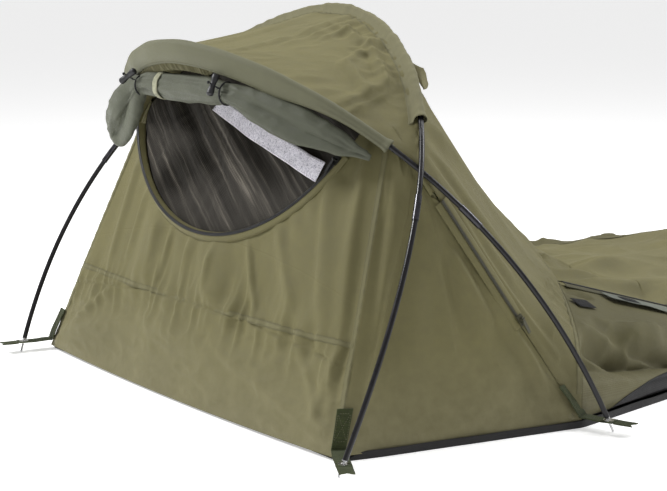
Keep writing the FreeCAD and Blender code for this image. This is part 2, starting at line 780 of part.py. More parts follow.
# Side zip: down the seam between the right side wall and the rear slope
SIDE_ZIP = (0.13, 0.62)  # shares of the seam from the crossing
side_top, side_low = (mix(main_arc(1), FLOOR_CORNERS["rear_right"], share) for share in SIDE_ZIP)
side_out = squared(outward(side_wall(1), 0.9, 0.5) + outward(rear_slope, 0.97, 0.3), side_top - side_low)
SIDE_LIFT = side_out * 3.0
feature("side_zip_coil", straight_coil(side_top + SIDE_LIFT, side_low + SIDE_LIFT, side_out))
side_place = frame_placement(mix(side_low, side_top, 0.05) + SIDE_LIFT, side_top - side_low, side_out)
slider("side_zip_slider", side_place)
pull("side_zip_pull", side_place)

# Sack zip: a short stretch down from the head, then straight to the foot
ZIP_LIFT = 3.0
zip_head = seam_point(HEAD_ZIP_SHARE) + V(0, 8, 0)
zip_turn = sack_line(1, 1, True)
zip_foot = mix(zip_turn, sack_line(2, 1, True), 0.92)


def sack_out(along):
    """Outward direction of the sack at its zip, square to the zip."""
    across = sack_line(1, 1.02, True) - sack_line(1, 0.9, True)
    normal = across.cross(V(0, 1, 0))
    return squared(normal if normal.z > 0 else normal * -1, along)


head_out = sack_out(zip_turn - zip_head)
foot_out = sack_out(zip_foot - zip_turn)
foot_lift = foot_out * ZIP_LIFT
feature("sack_zip_coil", Part.makeCompound([
    straight_coil(
        zip_head + head_out * ZIP_LIFT, mix(zip_head, zip_turn, 0.98) + head_out * ZIP_LIFT, head_out),
    straight_coil(mix(zip_turn, zip_foot, 0.004) + foot_lift, zip_foot + foot_lift, foot_out),
]))
sack_place = frame_placement(mix(zip_turn, zip_foot, 0.03) + foot_lift, zip_turn - zip_foot, foot_out)
slider("sack_zip_slider", sack_place)
pull("sack_zip_pull", sack_place)

# ---------------------------------------------------------------- storm flaps and closing patches
FLAP_DROP = 15  # the flap is sewn this far below the zip
FLAP_LIFT = 3.5
FLAP_THICK = 1.6


def flap_axes(start, end, out):
    """Hinge point, direction along the zip, and the direction in which the flap lies."""
    along = (end - start).normalize()
    down = along.cross(out)
    if down.z > 0:
        down = down * -1
    return start + down * FLAP_DROP + out * FLAP_LIFT, along, down


def storm_flap(label, start, end, out):
    """A straight strip lying open below the zip. Its top edge is the hinge line."""
    hinge, along, down = flap_axes(start, end, out)
    strip = part("Box", label, None, Width="dims.flap_width", Height=str(FLAP_THICK))
    strip.Length = start.distanceToPoint(end)
    if along.cross(down).dot(out) > 0:
        strip.Placement = frame_placement(hinge, along, out)
    else:
        strip.Placement = frame_placement(hinge + along * start.distanceToPoint(end), along * -1, out)
    return name_piece(strip, label)


FRONT_FLAP = (mix(zip_head, zip_turn, 0.30), mix(zip_head, zip_turn, 0.93), head_out)
REAR_FLAP = (mix(zip_turn, zip_foot, 0.01), zip_foot, foot_out)
storm_flap("storm_flap_front", *FRONT_FLAP)
storm_flap("storm_flap_rear", *REAR_FLAP)


def wall_patch(index, share, below):
    """A square of hook and loop tape on the sack's right side, below the first stretch of the zip."""
    at = mix(sack_line(0, below, False), sack_line(1, below, False), share)
    along = sack_line(1, below, False) - sack_line(0, below, False)
    beside = mix(sack_line(0, below + 0.05, False), sack_line(1, below + 0.05, False), share)
    out = (beside - at).cross(along)
    out = squared(out if out.x > 0 else out * -1, along)
    tab = part("Box", f"wall_patch_{index}", None, Length="dims.velcro_length", Width="dims.velcro_width",
               Height="1.5")
    place = frame_placement(at, along, out)
    place.Base = place.multVec(V(-dim("velcro_length") / 2, -dim("velcro_width") / 2, 2.2))
    tab.Placement = place
    return tab


patches = [wall_patch(1, 0.10, 0.25), wall_patch(2, 0.84, 0.42)]
doc.recompute()
feature("wall_patches", Part.makeCompound([tab.Shape for tab in patches]))

# ---------------------------------------------------------------- rolled door flap, toggles, label, vent
# Stations along the roll, from its free left end to its right end: x, y, z, half thickness, half height
ROLL_STATIONS = (
    (-274, -160, 441, 6, 12),
    (-256, -164, 457, 13, 30),
    (-226, -170, 484, 16, 36),
    (-194, -174, 513, 16, 31),
    (-164, -176, 537, 15, 22),
    (-134, -176, 548, 17, 18),
    (-90, -176, 549, 19, 21),
    (-20, -176, 548, 20, 23),
    (70, -180, 549, 19, 22),
    (136, -176, 545, 17, 19),
    (186, -160, 527, 15, 27),
    (246, -134, 503, 13, 30),
    (300, -104, 482, 10, 22),
    (332, -84, 466, 6, 12),
    (354, -68, 455, 3, 5),
)


def rolled_flap():
    """The outer door, rolled up and tied under the brow."""
    points = [V(*station[:3]) for station in ROLL_STATIONS]
    rings = []
    for i, (point, station) in enumerate(zip(points, ROLL_STATIONS)):
        along = (points[min(i + 1, len(points) - 1)] - points[max(i - 1, 0)]).normalize()
        ring = Part.Wire([Part.Ellipse(V(0, 0, 0), station[4], station[3]).toShape()])
        ring.Placement = frame_placement(point, UP, along)
        rings.append(ring)
    return Part.makeLoft(rings, True, False)


feature("rolled_door_flap", rolled_flap())

STRAP_SEAT = V(-82, -176, 549)  # where the tie strap goes round the roll
STRAP_HALF = (24, 27)  # its half thickness and half height
STRAP_RUN = V(1, 0, 0)  # along the roll
STRAP_THICK = 1.2


def tie_strap():
    """A flat band round the roll, open to the roll with a little slack."""
    bands = []
    for grow in (0, -STRAP_THICK):
        ring = Part.Ellipse(V(0, 0, 0), STRAP_HALF[1] + grow, STRAP_HALF[0] + grow).toShape()
        ring.Placement = frame_placement(STRAP_SEAT, UP, STRAP_RUN)
        bands.append(Part.Face(Part.Wire([ring])))
    width = STRAP_RUN * dim("tie_width")
    return bands[0].extrude(width).cut(bands[1].extrude(width))


feature("flap_strap", tie_strap())

TOGGLE_SEATS = {"toggle_right": V(118, -177, 547), "toggle_left": V(-146, -176, 546)}
TOGGLE_TILT = {"toggle_right": 8, "toggle_left": -50}  # degrees that each toggle leans on its cord
LOOP_RADIUS = 25
LOOP_CORD = 1.3
TOGGLE_OUT = 34  # from the middle of the roll to the middle of the toggle
RING_SEAM_TURN = 50  # turns the ring's own seam away from the link
LOOP_OUT = V(0, -0.875, 0.484)  # the cord leaves the roll this way


def toggle(label):
    """A barrel toggle with a cross hole for its cord."""
    straight = dim("toggle_length") - 2 * dim("toggle_radius")
    barrel = part("Cylinder", label + "_barrel", shifted(0, 0, -straight / 2), Radius="dims.toggle_radius",
                  Height="dims.toggle_length - 2 * dims.toggle_radius")
    ends = [part("Sphere", f"{label}_end_{name}", shifted(0, 0, side * straight / 2),
                 Radius="dims.toggle_radius") for side, name in ((-1, "low"), (1, "high"))]
    hole = part("Cylinder", label + "_hole", None, Radius="1.9", Height="4 * dims.toggle_radius")
    hole.Placement = FreeCAD.Placement(V(-2 * dim("toggle_radius"), 0, 0), FreeCAD.Rotation(V(0, 1, 0), 90))
    made = cut(label, fused(label + "_outside", [barrel, *ends]), hole)
    upright = frame_placement(TOGGLE_SEATS[label] + LOOP_OUT * TOGGLE_OUT, LOOP_OUT, squared(UP, LOOP_OUT))
    tilt = FreeCAD.Placement(V(0, 0, 0), FreeCAD.Rotation(V(1, 0, 0), TOGGLE_TILT[label]))
    made.Placement = upright.multiply(tilt)
    return name_piece(made, label)


def toggle_loop(label):
    """Cord round the roll, through the toggle, to a knot."""
    seat = TOGGLE_SEATS[label]
    knot = 2.6
    knot_out = TOGGLE_OUT + dim("toggle_radius") + 0.5 + knot
    start = seat - LOOP_OUT * LOOP_RADIUS
    circle = Part.Circle(start, LOOP_OUT.cross(V(1, 0, 0)), LOOP_CORD).toShape()
    circle.rotate(start, LOOP_OUT.cross(V(1, 0, 0)), RING_SEAM_TURN)
    ring = Part.Face(Part.Wire([circle])).revolve(seat, V(1, 0, 0), 360)
    link = Part.makeCylinder(LOOP_CORD, knot_out - LOOP_RADIUS, seat + LOOP_OUT * LOOP_RADIUS, LOOP_OUT)
    return ring.fuse([link, Part.makeSphere(knot, seat + LOOP_OUT * knot_out)])


for label in TOGGLE_SEATS:
    toggle(label)
feature("toggle_loops", Part.makeCompound([toggle_loop(label) for label in TOGGLE_SEATS]))


def on_wall(x, z):
    """Point of the door wall's outer face at a given x and height."""
    u, v = x / 400, (z - TUB) / 600
    for _ in range(30):
        here = door_wall(u, v)
        u += (x - here.x) / 450
        v += (z - here.z) / 600
    return here


# x and z: lower left, lower right, upper left, upper right
LABEL_CORNERS = ((-88, 499), (236, 405), (-66, 519), (247, 438))


def label_face(u, v):
    """A blank strip in front of the mesh."""
    low_left, low_right, top_left, top_right = (V(x, 0, z) for x, z in LABEL_CORNERS)
    spot = mix(mix(low_left, low_right, u), mix(top_left, top_right, u), v)
    return on_wall(spot.x, spot.z) - V(0, 3.0, 0)


feature("blank_label", panel(label_face, (0.0, 1.0), (0.0, 1.0), thickness=1.0, steps=6))


HOOD_BASE = ((0.38, 0.075), (0.65, 0.075), (0.53, 0.22))  # shares across and down the rear slope
HOOD_TIP = (0.52, 0.09)
HOOD_SEAT = 8  # the hood's base stands this far off the slope
HOOD_RISE = 25


def vent_hood():
    """A small pointed hood on the rear slope, behind the main sleeve."""
    out = outward(rear_slope, *HOOD_TIP)
    base = [rear_slope(u, v) + out * HOOD_SEAT for u, v in HOOD_BASE]
    tip = rear_slope(*HOOD_TIP) + out * HOOD_RISE
    faces = [Part.Face(Part.makePolygon([a, b, tip, a])) for a, b in zip(base, base[1:] + base[:1])]
    faces.append(Part.Face(Part.makePolygon(base + base[:1])))
    solid = Part.makeSolid(Part.makeShell(faces))
    if solid.Volume < 0:
        solid.reverse()
    return solid


feature("vent_hood", vent_hood())

# ---------------------------------------------------------------- check and export
doc.recompute()
for obj in doc.Objects:
    bad = {"Invalid", "Error"} & set(obj.State)
    if bad:
        raise RuntimeError(f"{obj.Label} failed: {bad}")
for obj in pieces:
    if obj.Shape.isNull() or not obj.Shape.isValid() or not obj.Shape.Solids:
        raise RuntimeError(f"{obj.Label} has no valid shape")
for obj in pieces:
    obj.Shape.exportStep(f"parts/{obj.Label}.step")
print(len(pieces), "sub-parts written")
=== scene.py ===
import bpy
import math
import numpy as np
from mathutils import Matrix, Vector


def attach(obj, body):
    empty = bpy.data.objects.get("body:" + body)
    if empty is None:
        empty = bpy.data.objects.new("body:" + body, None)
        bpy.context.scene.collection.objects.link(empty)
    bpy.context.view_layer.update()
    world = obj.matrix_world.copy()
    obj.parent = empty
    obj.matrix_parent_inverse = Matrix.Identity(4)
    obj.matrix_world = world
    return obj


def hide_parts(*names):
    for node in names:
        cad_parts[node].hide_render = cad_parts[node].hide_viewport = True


# Looks of the pitched bivy sack, in metres, in the CAD part's frame: +X is the zip side, -Y the door,
# +Y the foot end, +Z up, with the origin on the ground midway between the four pole feet.

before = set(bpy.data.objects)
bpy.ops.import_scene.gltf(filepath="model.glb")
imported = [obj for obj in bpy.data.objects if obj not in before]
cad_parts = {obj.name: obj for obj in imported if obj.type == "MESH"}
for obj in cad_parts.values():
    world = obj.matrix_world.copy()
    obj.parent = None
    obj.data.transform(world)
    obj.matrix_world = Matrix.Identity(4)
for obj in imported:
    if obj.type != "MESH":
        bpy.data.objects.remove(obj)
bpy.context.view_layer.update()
SHELL = "pitched_shell"

# ---- shared shape, as in the CAD part
FEET_GAP, EYELET_Z = 0.484, 0.020
TUB, SEAM_HEIGHT = 0.016, 0.170
INSIDE = np.array((0.0, 0.060, 0.200))
FLOOR = {
    "front_left": np.array((-0.488, -0.184, TUB)),
    "front_right": np.array((0.440, -0.204, TUB)),
    "rear_left": np.array((-0.548, 0.228, TUB)),
    "rear_right": np.array((0.548, 0.228, TUB)),
}


class Hoop:
    """A bent pole: a quarter curve from foot to crown, mirrored, leaning out of the vertical."""

    def __init__(self, span, foot_y, toward, rise, lean, flare, shoulder, crown, bow, crossing):
        self.half, self.foot_y, self.toward = span / 2, foot_y, toward
        self.rise, self.lean, self.bow = rise, math.radians(lean), bow
        self.flare, self.shoulder, self.crown = flare, shoulder, crown
        self.crossing = crossing

    def point(self, share):
        """Points at shares 0 (right foot) to 1 (crown) to 2 (left foot)."""
        share = np.asarray(share, float)
        side = np.where(share <= 1, 1.0, -1.0)
        t = np.where(share <= 1, share, 2 - share)
        b0, b1, b2, b3 = (1 - t) ** 3, 3 * (1 - t) ** 2 * t, 3 * (1 - t) * t * t, t ** 3
        x = b0 * self.half + b1 * (self.half + self.flare) + b2 * self.crown
        up = b1 * self.shoulder + (b2 + b3) * self.rise
        bow = self.bow * 4 * (up / self.rise) * (1 - up / self.rise)
        back = up * math.sin(self.lean) + bow * math.cos(self.lean)
        height = up * math.cos(self.lean) - bow * math.sin(self.lean)
        return np.stack([side * x, self.foot_y + self.toward * back, EYELET_Z + height], -1)

    def arc(self, u):
        """Points between the two crossings, u from -1 (left) to 1 (right)."""
        u = np.asarray(u, float)
        point = self.point(self.crossing + (1 - self.crossing) * (1 - np.abs(u)))
        point[..., 0] = np.where(u < 0, -point[..., 0], point[..., 0])
        return point


MAIN = Hoop(1.000, -FEET_GAP / 2, 1, 0.768, 30.88, 0.063, 0.569, 0.173, -0.031, 0.3595)
BROW = Hoop(1.192, FEET_GAP / 2, -1, 0.750, 36.40, -0.096, 0.587, 0.187, -0.042, 0.373)
HOOP_HEART = np.array((0.0, 0.0, 0.300))  # the hoops bend round this point
MAIN_TUCK, BROW_TUCK = 0.007, 0.006  # how far the cloth lies inside each hoop
UP, RIGHT = np.array((0.0, 0.0, 1.0)), np.array((1.0, 0.0, 0.0))


def unit(v):
    return v / np.maximum(np.linalg.norm(v, axis=-1, keepdims=True), 1e-12)


def tangents(points):
    return unit(np.gradient(points, axis=0))


def round_angles(count):
    """Even angles once round."""
    return np.linspace(0, 2 * math.pi, count, endpoint=False)


def run_along(points):
    """Distance along a line at each of its points."""
    return np.concatenate([[0], np.cumsum(np.linalg.norm(np.diff(points, axis=0), axis=1))])


def mix(a, b, share):
    share = np.asarray(share, float)[..., None]
    return a * (1 - share) + b * share


def tucked(hoop, u, depth):
    """A hoop's arc, moved inwards so that cloth lies under the pole."""
    point = hoop.arc(u)
    return point + unit(HOOP_HEART - point) * depth


ARCH_Y, ARCH_REACH = -0.022, 0.85
GAP_LEAST = 0.001


def arch(u):
    """The line across the canopy where the door wall meets it."""
    front, back = tucked(BROW, u, BROW_TUCK), tucked(MAIN, u, MAIN_TUCK)
    gap = back[..., 1] - front[..., 1]
    share = np.where(gap > GAP_LEAST, (ARCH_Y - front[..., 1]) / np.maximum(gap, GAP_LEAST), 0.5)
    return mix(front, back, np.clip(share, 0, 1))


ROOF_SAG, SLOPE_SAG, WALL_BOW = 0.010, 0.014, 0.014


def canopy(u, v):
    point = mix(tucked(BROW, u, BROW_TUCK), tucked(MAIN, u, MAIN_TUCK), v)
    point[..., 2] -= ROOF_SAG * 4 * v * (1 - v) * (1 - u * u)
    return point


def door_wall(u, v):
    foot = mix(FLOOR["front_left"], FLOOR["front_right"], (u + 1) / 2)
    foot[..., 1] -= WALL_BOW * (1 - u * u)
    return mix(foot, arch(u * ARCH_REACH), v)


def side_wall(side):
    end = "right" if side > 0 else "left"
    front, rear = FLOOR["front_" + end], FLOOR["rear_" + end]

    def surface(u, v):
        top = arch(side * (ARCH_REACH + (1 - ARCH_REACH) * u))
        return mix(mix(front, rear, u), top, v)

    return surface


SEAM_RISE, SEAM_REACH, SEAM_ROUND = 0.163, 0.400, 0.15


def seam_point(across):
    across = np.asarray(across, float)
    corner = FLOOR["rear_right"]
    rise = (1 - np.minimum(np.abs(across), 1) ** 4) ** 0.25
    rounded = np.hypot(across, SEAM_ROUND) - SEAM_ROUND
    share = 1 - rounded / (math.hypot(1, SEAM_ROUND) - SEAM_ROUND)
    return np.stack([corner[0] * across, corner[1] + SEAM_REACH * share, TUB + SEAM_RISE * rise], -1)


def rear_seam(u):
    return seam_point(np.copysign(np.abs(np.sin(u * math.pi / 2)) ** 0.5, u))


def rear_slope(u, v):
    point = mix(tucked(MAIN, u, MAIN_TUCK), rear_seam(u), v)
    sag = SLOPE_SAG * 4 * v * (1 - v) * (1 - u ** 4)
    return point + unit(INSIDE - point) * sag[..., None]


# y, half width, height above the tub, roundness
SACK_SECTIONS = (
    (0.708, 0.500, 0.110, 2.0),
    (1.800, 0.352, 0.098, 2.2),
    (2.050, 0.300, 0.074, 2.4),
)
HEAD_ZIP_SHARE, SACK_ZIP_SHARE = 0.54, 0.66  # share of the width where the top panel ends


def section_point(section, across):
    y, half, height, roundness = section
    rise = (1 - np.minimum(np.abs(across), 1) ** roundness) ** (1 / roundness)
    return np.stack([half * across, np.full_like(across, y), TUB + height * rise], -1)


def sack_rib(station, share, from_zip):
    """One cross-section. share runs over the top panel, or from the zip (0) to the floor (1)."""
    share = np.asarray(share, float)
    zip_share = HEAD_ZIP_SHARE if station == 0 else SACK_ZIP_SHARE
    if from_zip:
        across = zip_share * share
    else:
        across = np.sign(share) * (zip_share + (1 - zip_share) * np.sin(np.abs(share) * math.pi / 2))
    if station == 0:
        return seam_point(across)
    return section_point(SACK_SECTIONS[station - 1], across)


RIB_AT = (0.0, 0.28, 0.86, 1.0)  # v of each cross-section


def sack(from_zip):
    """The sack's surface: u across, v from the head seam (0) to the foot (1)."""

    def surface(u, v):
        u, v = np.broadcast_arrays(np.asarray(u, float), np.asarray(v, float))
        point = np.zeros(u.shape + (3,))
        for i in range(3):
            low, high = RIB_AT[i], RIB_AT[i + 1]
            here = (v >= low) & (v <= high if i == 2 else v < high)
            share = (v[here] - low) / (high - low)
            point[here] = mix(sack_rib(i, u[here], from_zip), sack_rib(i + 1, u[here], from_zip), share)
        return point

    return surface


WINDOW_LEAN, WINDOW_RADIUS = math.radians(23.3), 0.360  # the round of the door, as a leaning circle
WINDOW_UP = np.array((0.0, math.sin(WINDOW_LEAN), math.cos(WINDOW_LEAN)))
WINDOW_OUT = np.array((0.0, -WINDOW_UP[2], WINDOW_UP[1]))
WINDOW_CENTRE = np.array((-0.030, -0.131, 0.288)) + WINDOW_UP * WINDOW_RADIUS

# ---- mesh building
EDGE_STEP = 1e-3


def outward(surface, u, v, inside):
    """Unit normals of a surface, pointing away from the inside."""
    u, v = np.asarray(u, float), np.asarray(v, float)
    along_u = surface(u + EDGE_STEP, v) - surface(u - EDGE_STEP, v)
    along_v = surface(u, np.minimum(v + EDGE_STEP, 1)) - surface(u, np.maximum(v - EDGE_STEP, 0))
    normal = unit(np.cross(along_u, along_v))
    away = surface(u, v) - inside
    return normal * np.where((normal * away).sum(-1) < 0, -1.0, 1.0)[..., None]


def lifted(surface, u, v, inside=INSIDE, relief=None, lift=0.0):
    """Points of a surface moved along its outward normals, and the normals."""
    u, v = np.broadcast_arrays(np.asarray(u, float), np.asarray(v, float))
    point = surface(u, v)
    normal = outward(surface, u, v, inside)
    height = np.full(u.shape, lift)
    if relief is not None:
        height = height + relief(u, v, point)
    return point + normal * height[..., None], normal


def placed(name, data):
    """A new object in the scene."""
    obj = bpy.data.objects.new(name, data)
    bpy.context.scene.collection.objects.link(obj)
    return obj


def mesh_object(name, points, faces, uv):
    """A smooth mesh object. uv holds one pair of metres for each point."""
    mesh = bpy.data.meshes.new(name)
    mesh.from_pydata(points.tolist(), [], faces.tolist() if hasattr(faces, "tolist") else faces)
    corner = np.zeros(len(mesh.loops), int)
    mesh.loops.foreach_get("vertex_index", corner)
    layer = mesh.uv_layers.new(name="UVMap")
    layer.data.foreach_set("uv", np.asarray(uv, float)[corner].ravel())
    mesh.shade_smooth()
    mesh.update()
    return placed(name, mesh)


def grid_faces(rows, cols, closed=False):
    """Quads of a grid. A closed grid joins its last column to its first."""
    across = cols if closed else cols - 1
    r, c = np.meshgrid(np.arange(rows - 1), np.arange(across), indexing="ij")
    here, right = r * cols + c, r * cols + (c + 1) % cols
    return np.stack([here, right, right + cols, here + cols], -1).reshape(-1, 4)


def grid_uv(points):
    """Metres along a grid's middle row and middle column, for the weave."""
    rows, cols = points.shape[:2]
    s, t = run_along(points[rows // 2]), run_along(points[:, cols // 2])
    return np.stack(np.meshgrid(s, t), -1).reshape(-1, 2)


def grid_object(name, points, out=None, closed=False, keep=None):
    """A mesh from a grid of points, facing out where out gives its normals."""
    rows, cols = points.shape[:2]
    faces = grid_faces(rows, cols, closed)
    flat = points.reshape(-1, 3)
    if out is not None:
        middle = faces[len(faces) // 2]
        turn = np.cross(flat[middle[1]] - flat[middle[0]], flat[middle[2]] - flat[middle[0]])
        if turn @ out.reshape(-1, 3)[middle[0]] < 0:
            faces = faces[:, ::-1]
    if keep is not None:
        faces = faces[keep(flat[faces].mean(axis=1))]
    return mesh_object(name, flat, faces, grid_uv(points))


def paint(obj, mat):
    obj.data.materials.clear()
    obj.data.materials.append(mat)


def finish_piece(obj, body, mat, nodes=()):
    """Gives a piece its material and its body, and hides the CAD nodes it stands for."""
    paint(obj, mat)
    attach(obj, body)
    if nodes:
        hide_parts(*nodes)
    return obj


def sweep(name, rows, mat, out=None, nodes=(), body=SHELL, closed=False, thick=None, keep=None,
          centred=False):
    """A piece through rows of points: rows[i] is one cross-section, and out is the way it faces."""
    if out is not None:
        out = np.broadcast_to(out, rows.shape)
    obj = grid_object(name, rows, out, closed, keep)
    if thick:
        cloth = obj.modifiers.new("cloth_thickness", "SOLIDIFY")
        cloth.thickness, cloth.offset = thick, 0 if centred else -1
    return finish_piece(obj, body, mat, nodes)


# ---- folds and creases
def smooth(t):
    t = np.clip(t, 0, 1)
    return t * t * (3 - 2 * t)


def bell(x, width):
    """1 at 0, fading over a width on both sides."""
    return np.exp(-((x / width) ** 2))


def border(u, v, u_room, v_room, u_low=-1.0):
    """1 in a panel's middle, falling to 0 at its edges."""
    sides = smooth((1 - u) / u_room) * smooth((u - u_low) / u_room)
    return sides * smooth(v / v_room) * smooth((1 - v) / v_room)


CRUMPLE_WAVES = 18


def crumple(point, size, seed, squeeze=(1, 1, 1)):
    """Soft creases of a given size in metres. squeeze stretches them along an axis where it is under 1."""
    rng = np.random.default_rng(seed)
    way = unit(rng.normal(size=(CRUMPLE_WAVES, 3))) * np.asarray(squeeze, float)
    rate = 2 * math.pi / size * rng.uniform(0.6, 1.7, CRUMPLE_WAVES)
    turn = rng.uniform(0, 2 * math.pi, CRUMPLE_WAVES)
    wave = np.sin(point @ way.T * rate + turn)
    return wave.sum(-1) / math.sqrt(CRUMPLE_WAVES)


def creased(point, size, seed, squeeze=(1, 1, 1)):
    """Sharper ridges between soft hollows."""
    return 1 - np.abs(crumple(point, size, seed, squeeze))


def fold(point, start, end, width, depth, lean):
    """A ridge from start to end that fades at both ends. lean makes one flank steeper."""
    run = end - start
    length = np.linalg.norm(run)
    way = run / length
    away = point - start
    along = away @ way
    share = np.clip(along / length, 0, 1)
    gap = away - way * np.clip(along, 0, length)[..., None]
    distance = np.linalg.norm(gap, axis=-1)
    side = np.sign(gap @ np.cross(way, (0.3, -0.5, 0.8)))
    ends = np.sin(math.pi * np.clip(0.08 + 0.84 * share, 0, 1)) ** 0.7
    return depth * bell(distance, width * (1 + lean * side)) * ends


STROKE_UNITS = np.array((0.01, 0.01, 0.01, 0.01, 0.001, 0.001, 0.01))


def folds(surface, table):
    """Relief made of folds: u, v, u, v in hundredths, width and depth in millimetres, lean in hundredths."""
    strokes = [np.array(row) * STROKE_UNITS for row in table]
    ends = [(surface(s[0:1], s[1:2])[0], surface(s[2:3], s[3:4])[0]) for s in strokes]

    def relief(point):
        return sum(fold(point, *points, *stroke[4:]) for points, stroke in zip(ends, strokes))

    return relief


# ---- materials
def material(name, rough, color=(0.5, 0.5, 0.5), **inputs):
    """A Principled material. Its inputs are named as on the shader, with _ for each space."""
    mat = bpy.data.materials.new(name)
    mat.use_nodes = True
    shader = mat.node_tree.nodes["Principled BSDF"]
    for key, value in {"Base_Color": (*color, 1), "Roughness": rough, **inputs}.items():
        shader.inputs[key.replace("_", " ")].default_value = value
    return mat, mat.node_tree, shader


def add(tree, kind, inputs=None, out=0, **settings):
    """A new node's output. Its inputs are set to values or linked to sockets."""
    made = tree.nodes.new("ShaderNode" + kind)
    for key, value in settings.items():
        setattr(made, key, value)
    for key, value in (inputs or {}).items():
        if isinstance(value, bpy.types.NodeSocket):
            tree.links.new(value, made.inputs[key])
        else:
            made.inputs[key].default_value = value
    return made.outputs[out]


def maths(tree, a, b):
    return add(tree, "Math", {0: a, 1: b}, operation="MULTIPLY")


def ramp(tree, factor, *stops):
    """A colour ramp through (place, colour) stops. A colour may be one grey level."""
    color = add(tree, "ValToRGB", {"Fac": factor})
    stages = color.node.color_ramp.elements
    stages.remove(stages[1])
    for i, (place, colour) in enumerate(stops):
        spot = stages[0] if i == 0 else stages.new(place)
        spot.position = place
        spot.color = (*(colour if isinstance(colour, tuple) else (colour,) * 3), 1)
    return color


MIX_A, MIX_B, MIX_RESULT = 6, 7, 2  # colour sockets of a Mix node


def tinted(tree, color, shade):
    """A colour multiplied by a grey socket."""
    color = (*color, 1) if isinstance(color, tuple) else color
    return add(tree, "Mix", {0: 1.0, MIX_A: color, MIX_B: shade}, MIX_RESULT, data_type="RGBA",
               blend_type="MULTIPLY")


WAVE_TURNS = 20  # Blender's wave texture repeats 20 times in 2 pi units at scale 1


def bands(tree, vector, pitch, way, **inputs):
    """Ridges at a pitch in metres."""
    inputs = {key.replace("_", " "): value for key, value in inputs.items()}
    inputs |= {"Vector": vector, "Scale": 2 * math.pi / (WAVE_TURNS * pitch)}
    return add(tree, "TexWave", inputs, "Fac", wave_type="BANDS", bands_direction=way, wave_profile="SIN")


def threads(tree, pitch, turn=0.0):
    """Height of a plain weave from the piece's own UV, in metres."""
    spun = add(tree, "Mapping", {"Vector": add(tree, "TexCoord", out="UV"), "Rotation": (0, 0, turn)})
    return maths(tree, *(bands(tree, spun, pitch, way) for way in ("X", "Y")))


def noise_of(tree, scale, detail=3.0, rough=0.5, stretch=(1, 1, 1), vector=None):
    if vector is None:
        vector = add(tree, "Mapping", {"Vector": add(tree, "TexCoord", out="Object"), "Scale": stretch})
    return add(tree, "TexNoise", {"Vector": vector, "Scale": scale, "Detail": detail, "Roughness": rough})


def wired(mat, tree, shader, color, layers, rough=None):
    """Links the colour, the polish and a chain of bumps, each (height, distance, strength), coarse first."""
    tree.links.new(color, shader.inputs["Base Color"])
    if rough:
        tree.links.new(ramp(tree, *rough), shader.inputs["Roughness"])
    inputs = {}
    for height, distance, strength in layers:
        inputs |= {"Height": height, "Distance": distance, "Strength": strength}
        inputs["Normal"] = add(tree, "Bump", inputs)
    tree.links.new(inputs["Normal"], shader.inputs["Normal"])
    return mat


DUST, DUST_HEIGHT = (0.42, 0.39, 0.31, 1), 0.16


def cloth_material(name, color, pitch=0.0009, rough=0.62, sheen=0.25, crease=0.35, mottle=0.16, dust=0.10):
    """Coated nylon: a fine plain weave, soft mottling, faint dust low down and small creases."""
    mat, tree, shader = material(name, rough, Sheen_Weight=sheen, Sheen_Roughness=0.45, Specular_IOR_Level=0.25,
                                 Sheen_Tint=(*[min(1, c * 2.2 + 0.15) for c in color], 1))
    weave, broad, fine = threads(tree, pitch), noise_of(tree, 4.0, 4.0, 0.55), noise_of(tree, 55.0, 5.0, 0.6)
    shade = ramp(tree, broad, (0.25, 1 - mottle), (0.75, 1 + mottle * 0.6))
    grain = ramp(tree, fine, (0.3, 0.93), (0.7, 1.05))
    thread_tone = ramp(tree, weave, (0.0, 0.90), (0.6, 1.06))
    height = add(tree, "SeparateXYZ", {"Vector": add(tree, "TexCoord", out="Object")}, "Z")
    low = add(tree, "MapRange", {"Value": height, 1: 0.0, 2: DUST_HEIGHT, 3: 1.0, 4: 0.0})
    dusty = maths(tree, maths(tree, low, fine), dust * 2)
    tone = tinted(tree, tinted(tree, tinted(tree, color, shade), grain), thread_tone)
    faded = add(tree, "Mix", {0: dusty, MIX_A: tone, MIX_B: DUST}, MIX_RESULT, data_type="RGBA")
    tree.links.new(ramp(tree, fine, (0.3, rough - 0.06), (0.7, rough + 0.08)), shader.inputs["Roughness"])
    small = noise_of(tree, 26.0, 4.0, 0.6)
    return wired(mat, tree, shader, faded, [(small, 0.004, crease), (fine, 0.0010, 0.25), (weave, 0.00035, 0.55)])


ACROSS_STREAKS, ALONG_STREAKS = (0.57, 0.3243, 0.7531), (0.82, -0.2254, -0.5235)  # unit ways in the net's plane


def net_material(name, thread, gap, pitch):
    """Fine insect net: pale threads over painted darkness of the shaded inside, with painted highlight streaks along
    the folds where it is pulled.
    """
    mat, tree, shader = material(name, 0.75, Specular_IOR_Level=0.12)
    weave = threads(tree, pitch, 0.6)
    # the gaps are painted near black: painted shade of the unlit inside behind the net
    tone = ramp(tree, weave, (0.10, thread), (0.42, gap))
    spot = add(tree, "TexCoord", out="Object")
    over, down = (add(tree, "VectorMath", {0: spot, 1: way}, "Value", operation="DOT_PRODUCT")
                  for way in (ACROSS_STREAKS, ALONG_STREAKS))
    place = add(tree, "CombineXYZ", {"X": maths(tree, over, 46.0), "Y": maths(tree, down, 1.6)})
    fold_noise_and_highlight = noise_of(tree, 1.6, 5.0, 0.6, vector=place)
    # painted highlight: the net's tone is multiplied up to five times along the diagonal fold streaks
    painted_highlight_streak = ramp(tree, fold_noise_and_highlight, (0.30, 0.9), (0.50, 1.2), (0.60, 2.2), (0.68, 5.0))
    return wired(mat, tree, shader, tinted(tree, tone, painted_highlight_streak), [(fold_noise_and_highlight, 0.010, 0.5), (weave, 0.0005, -0.5)])


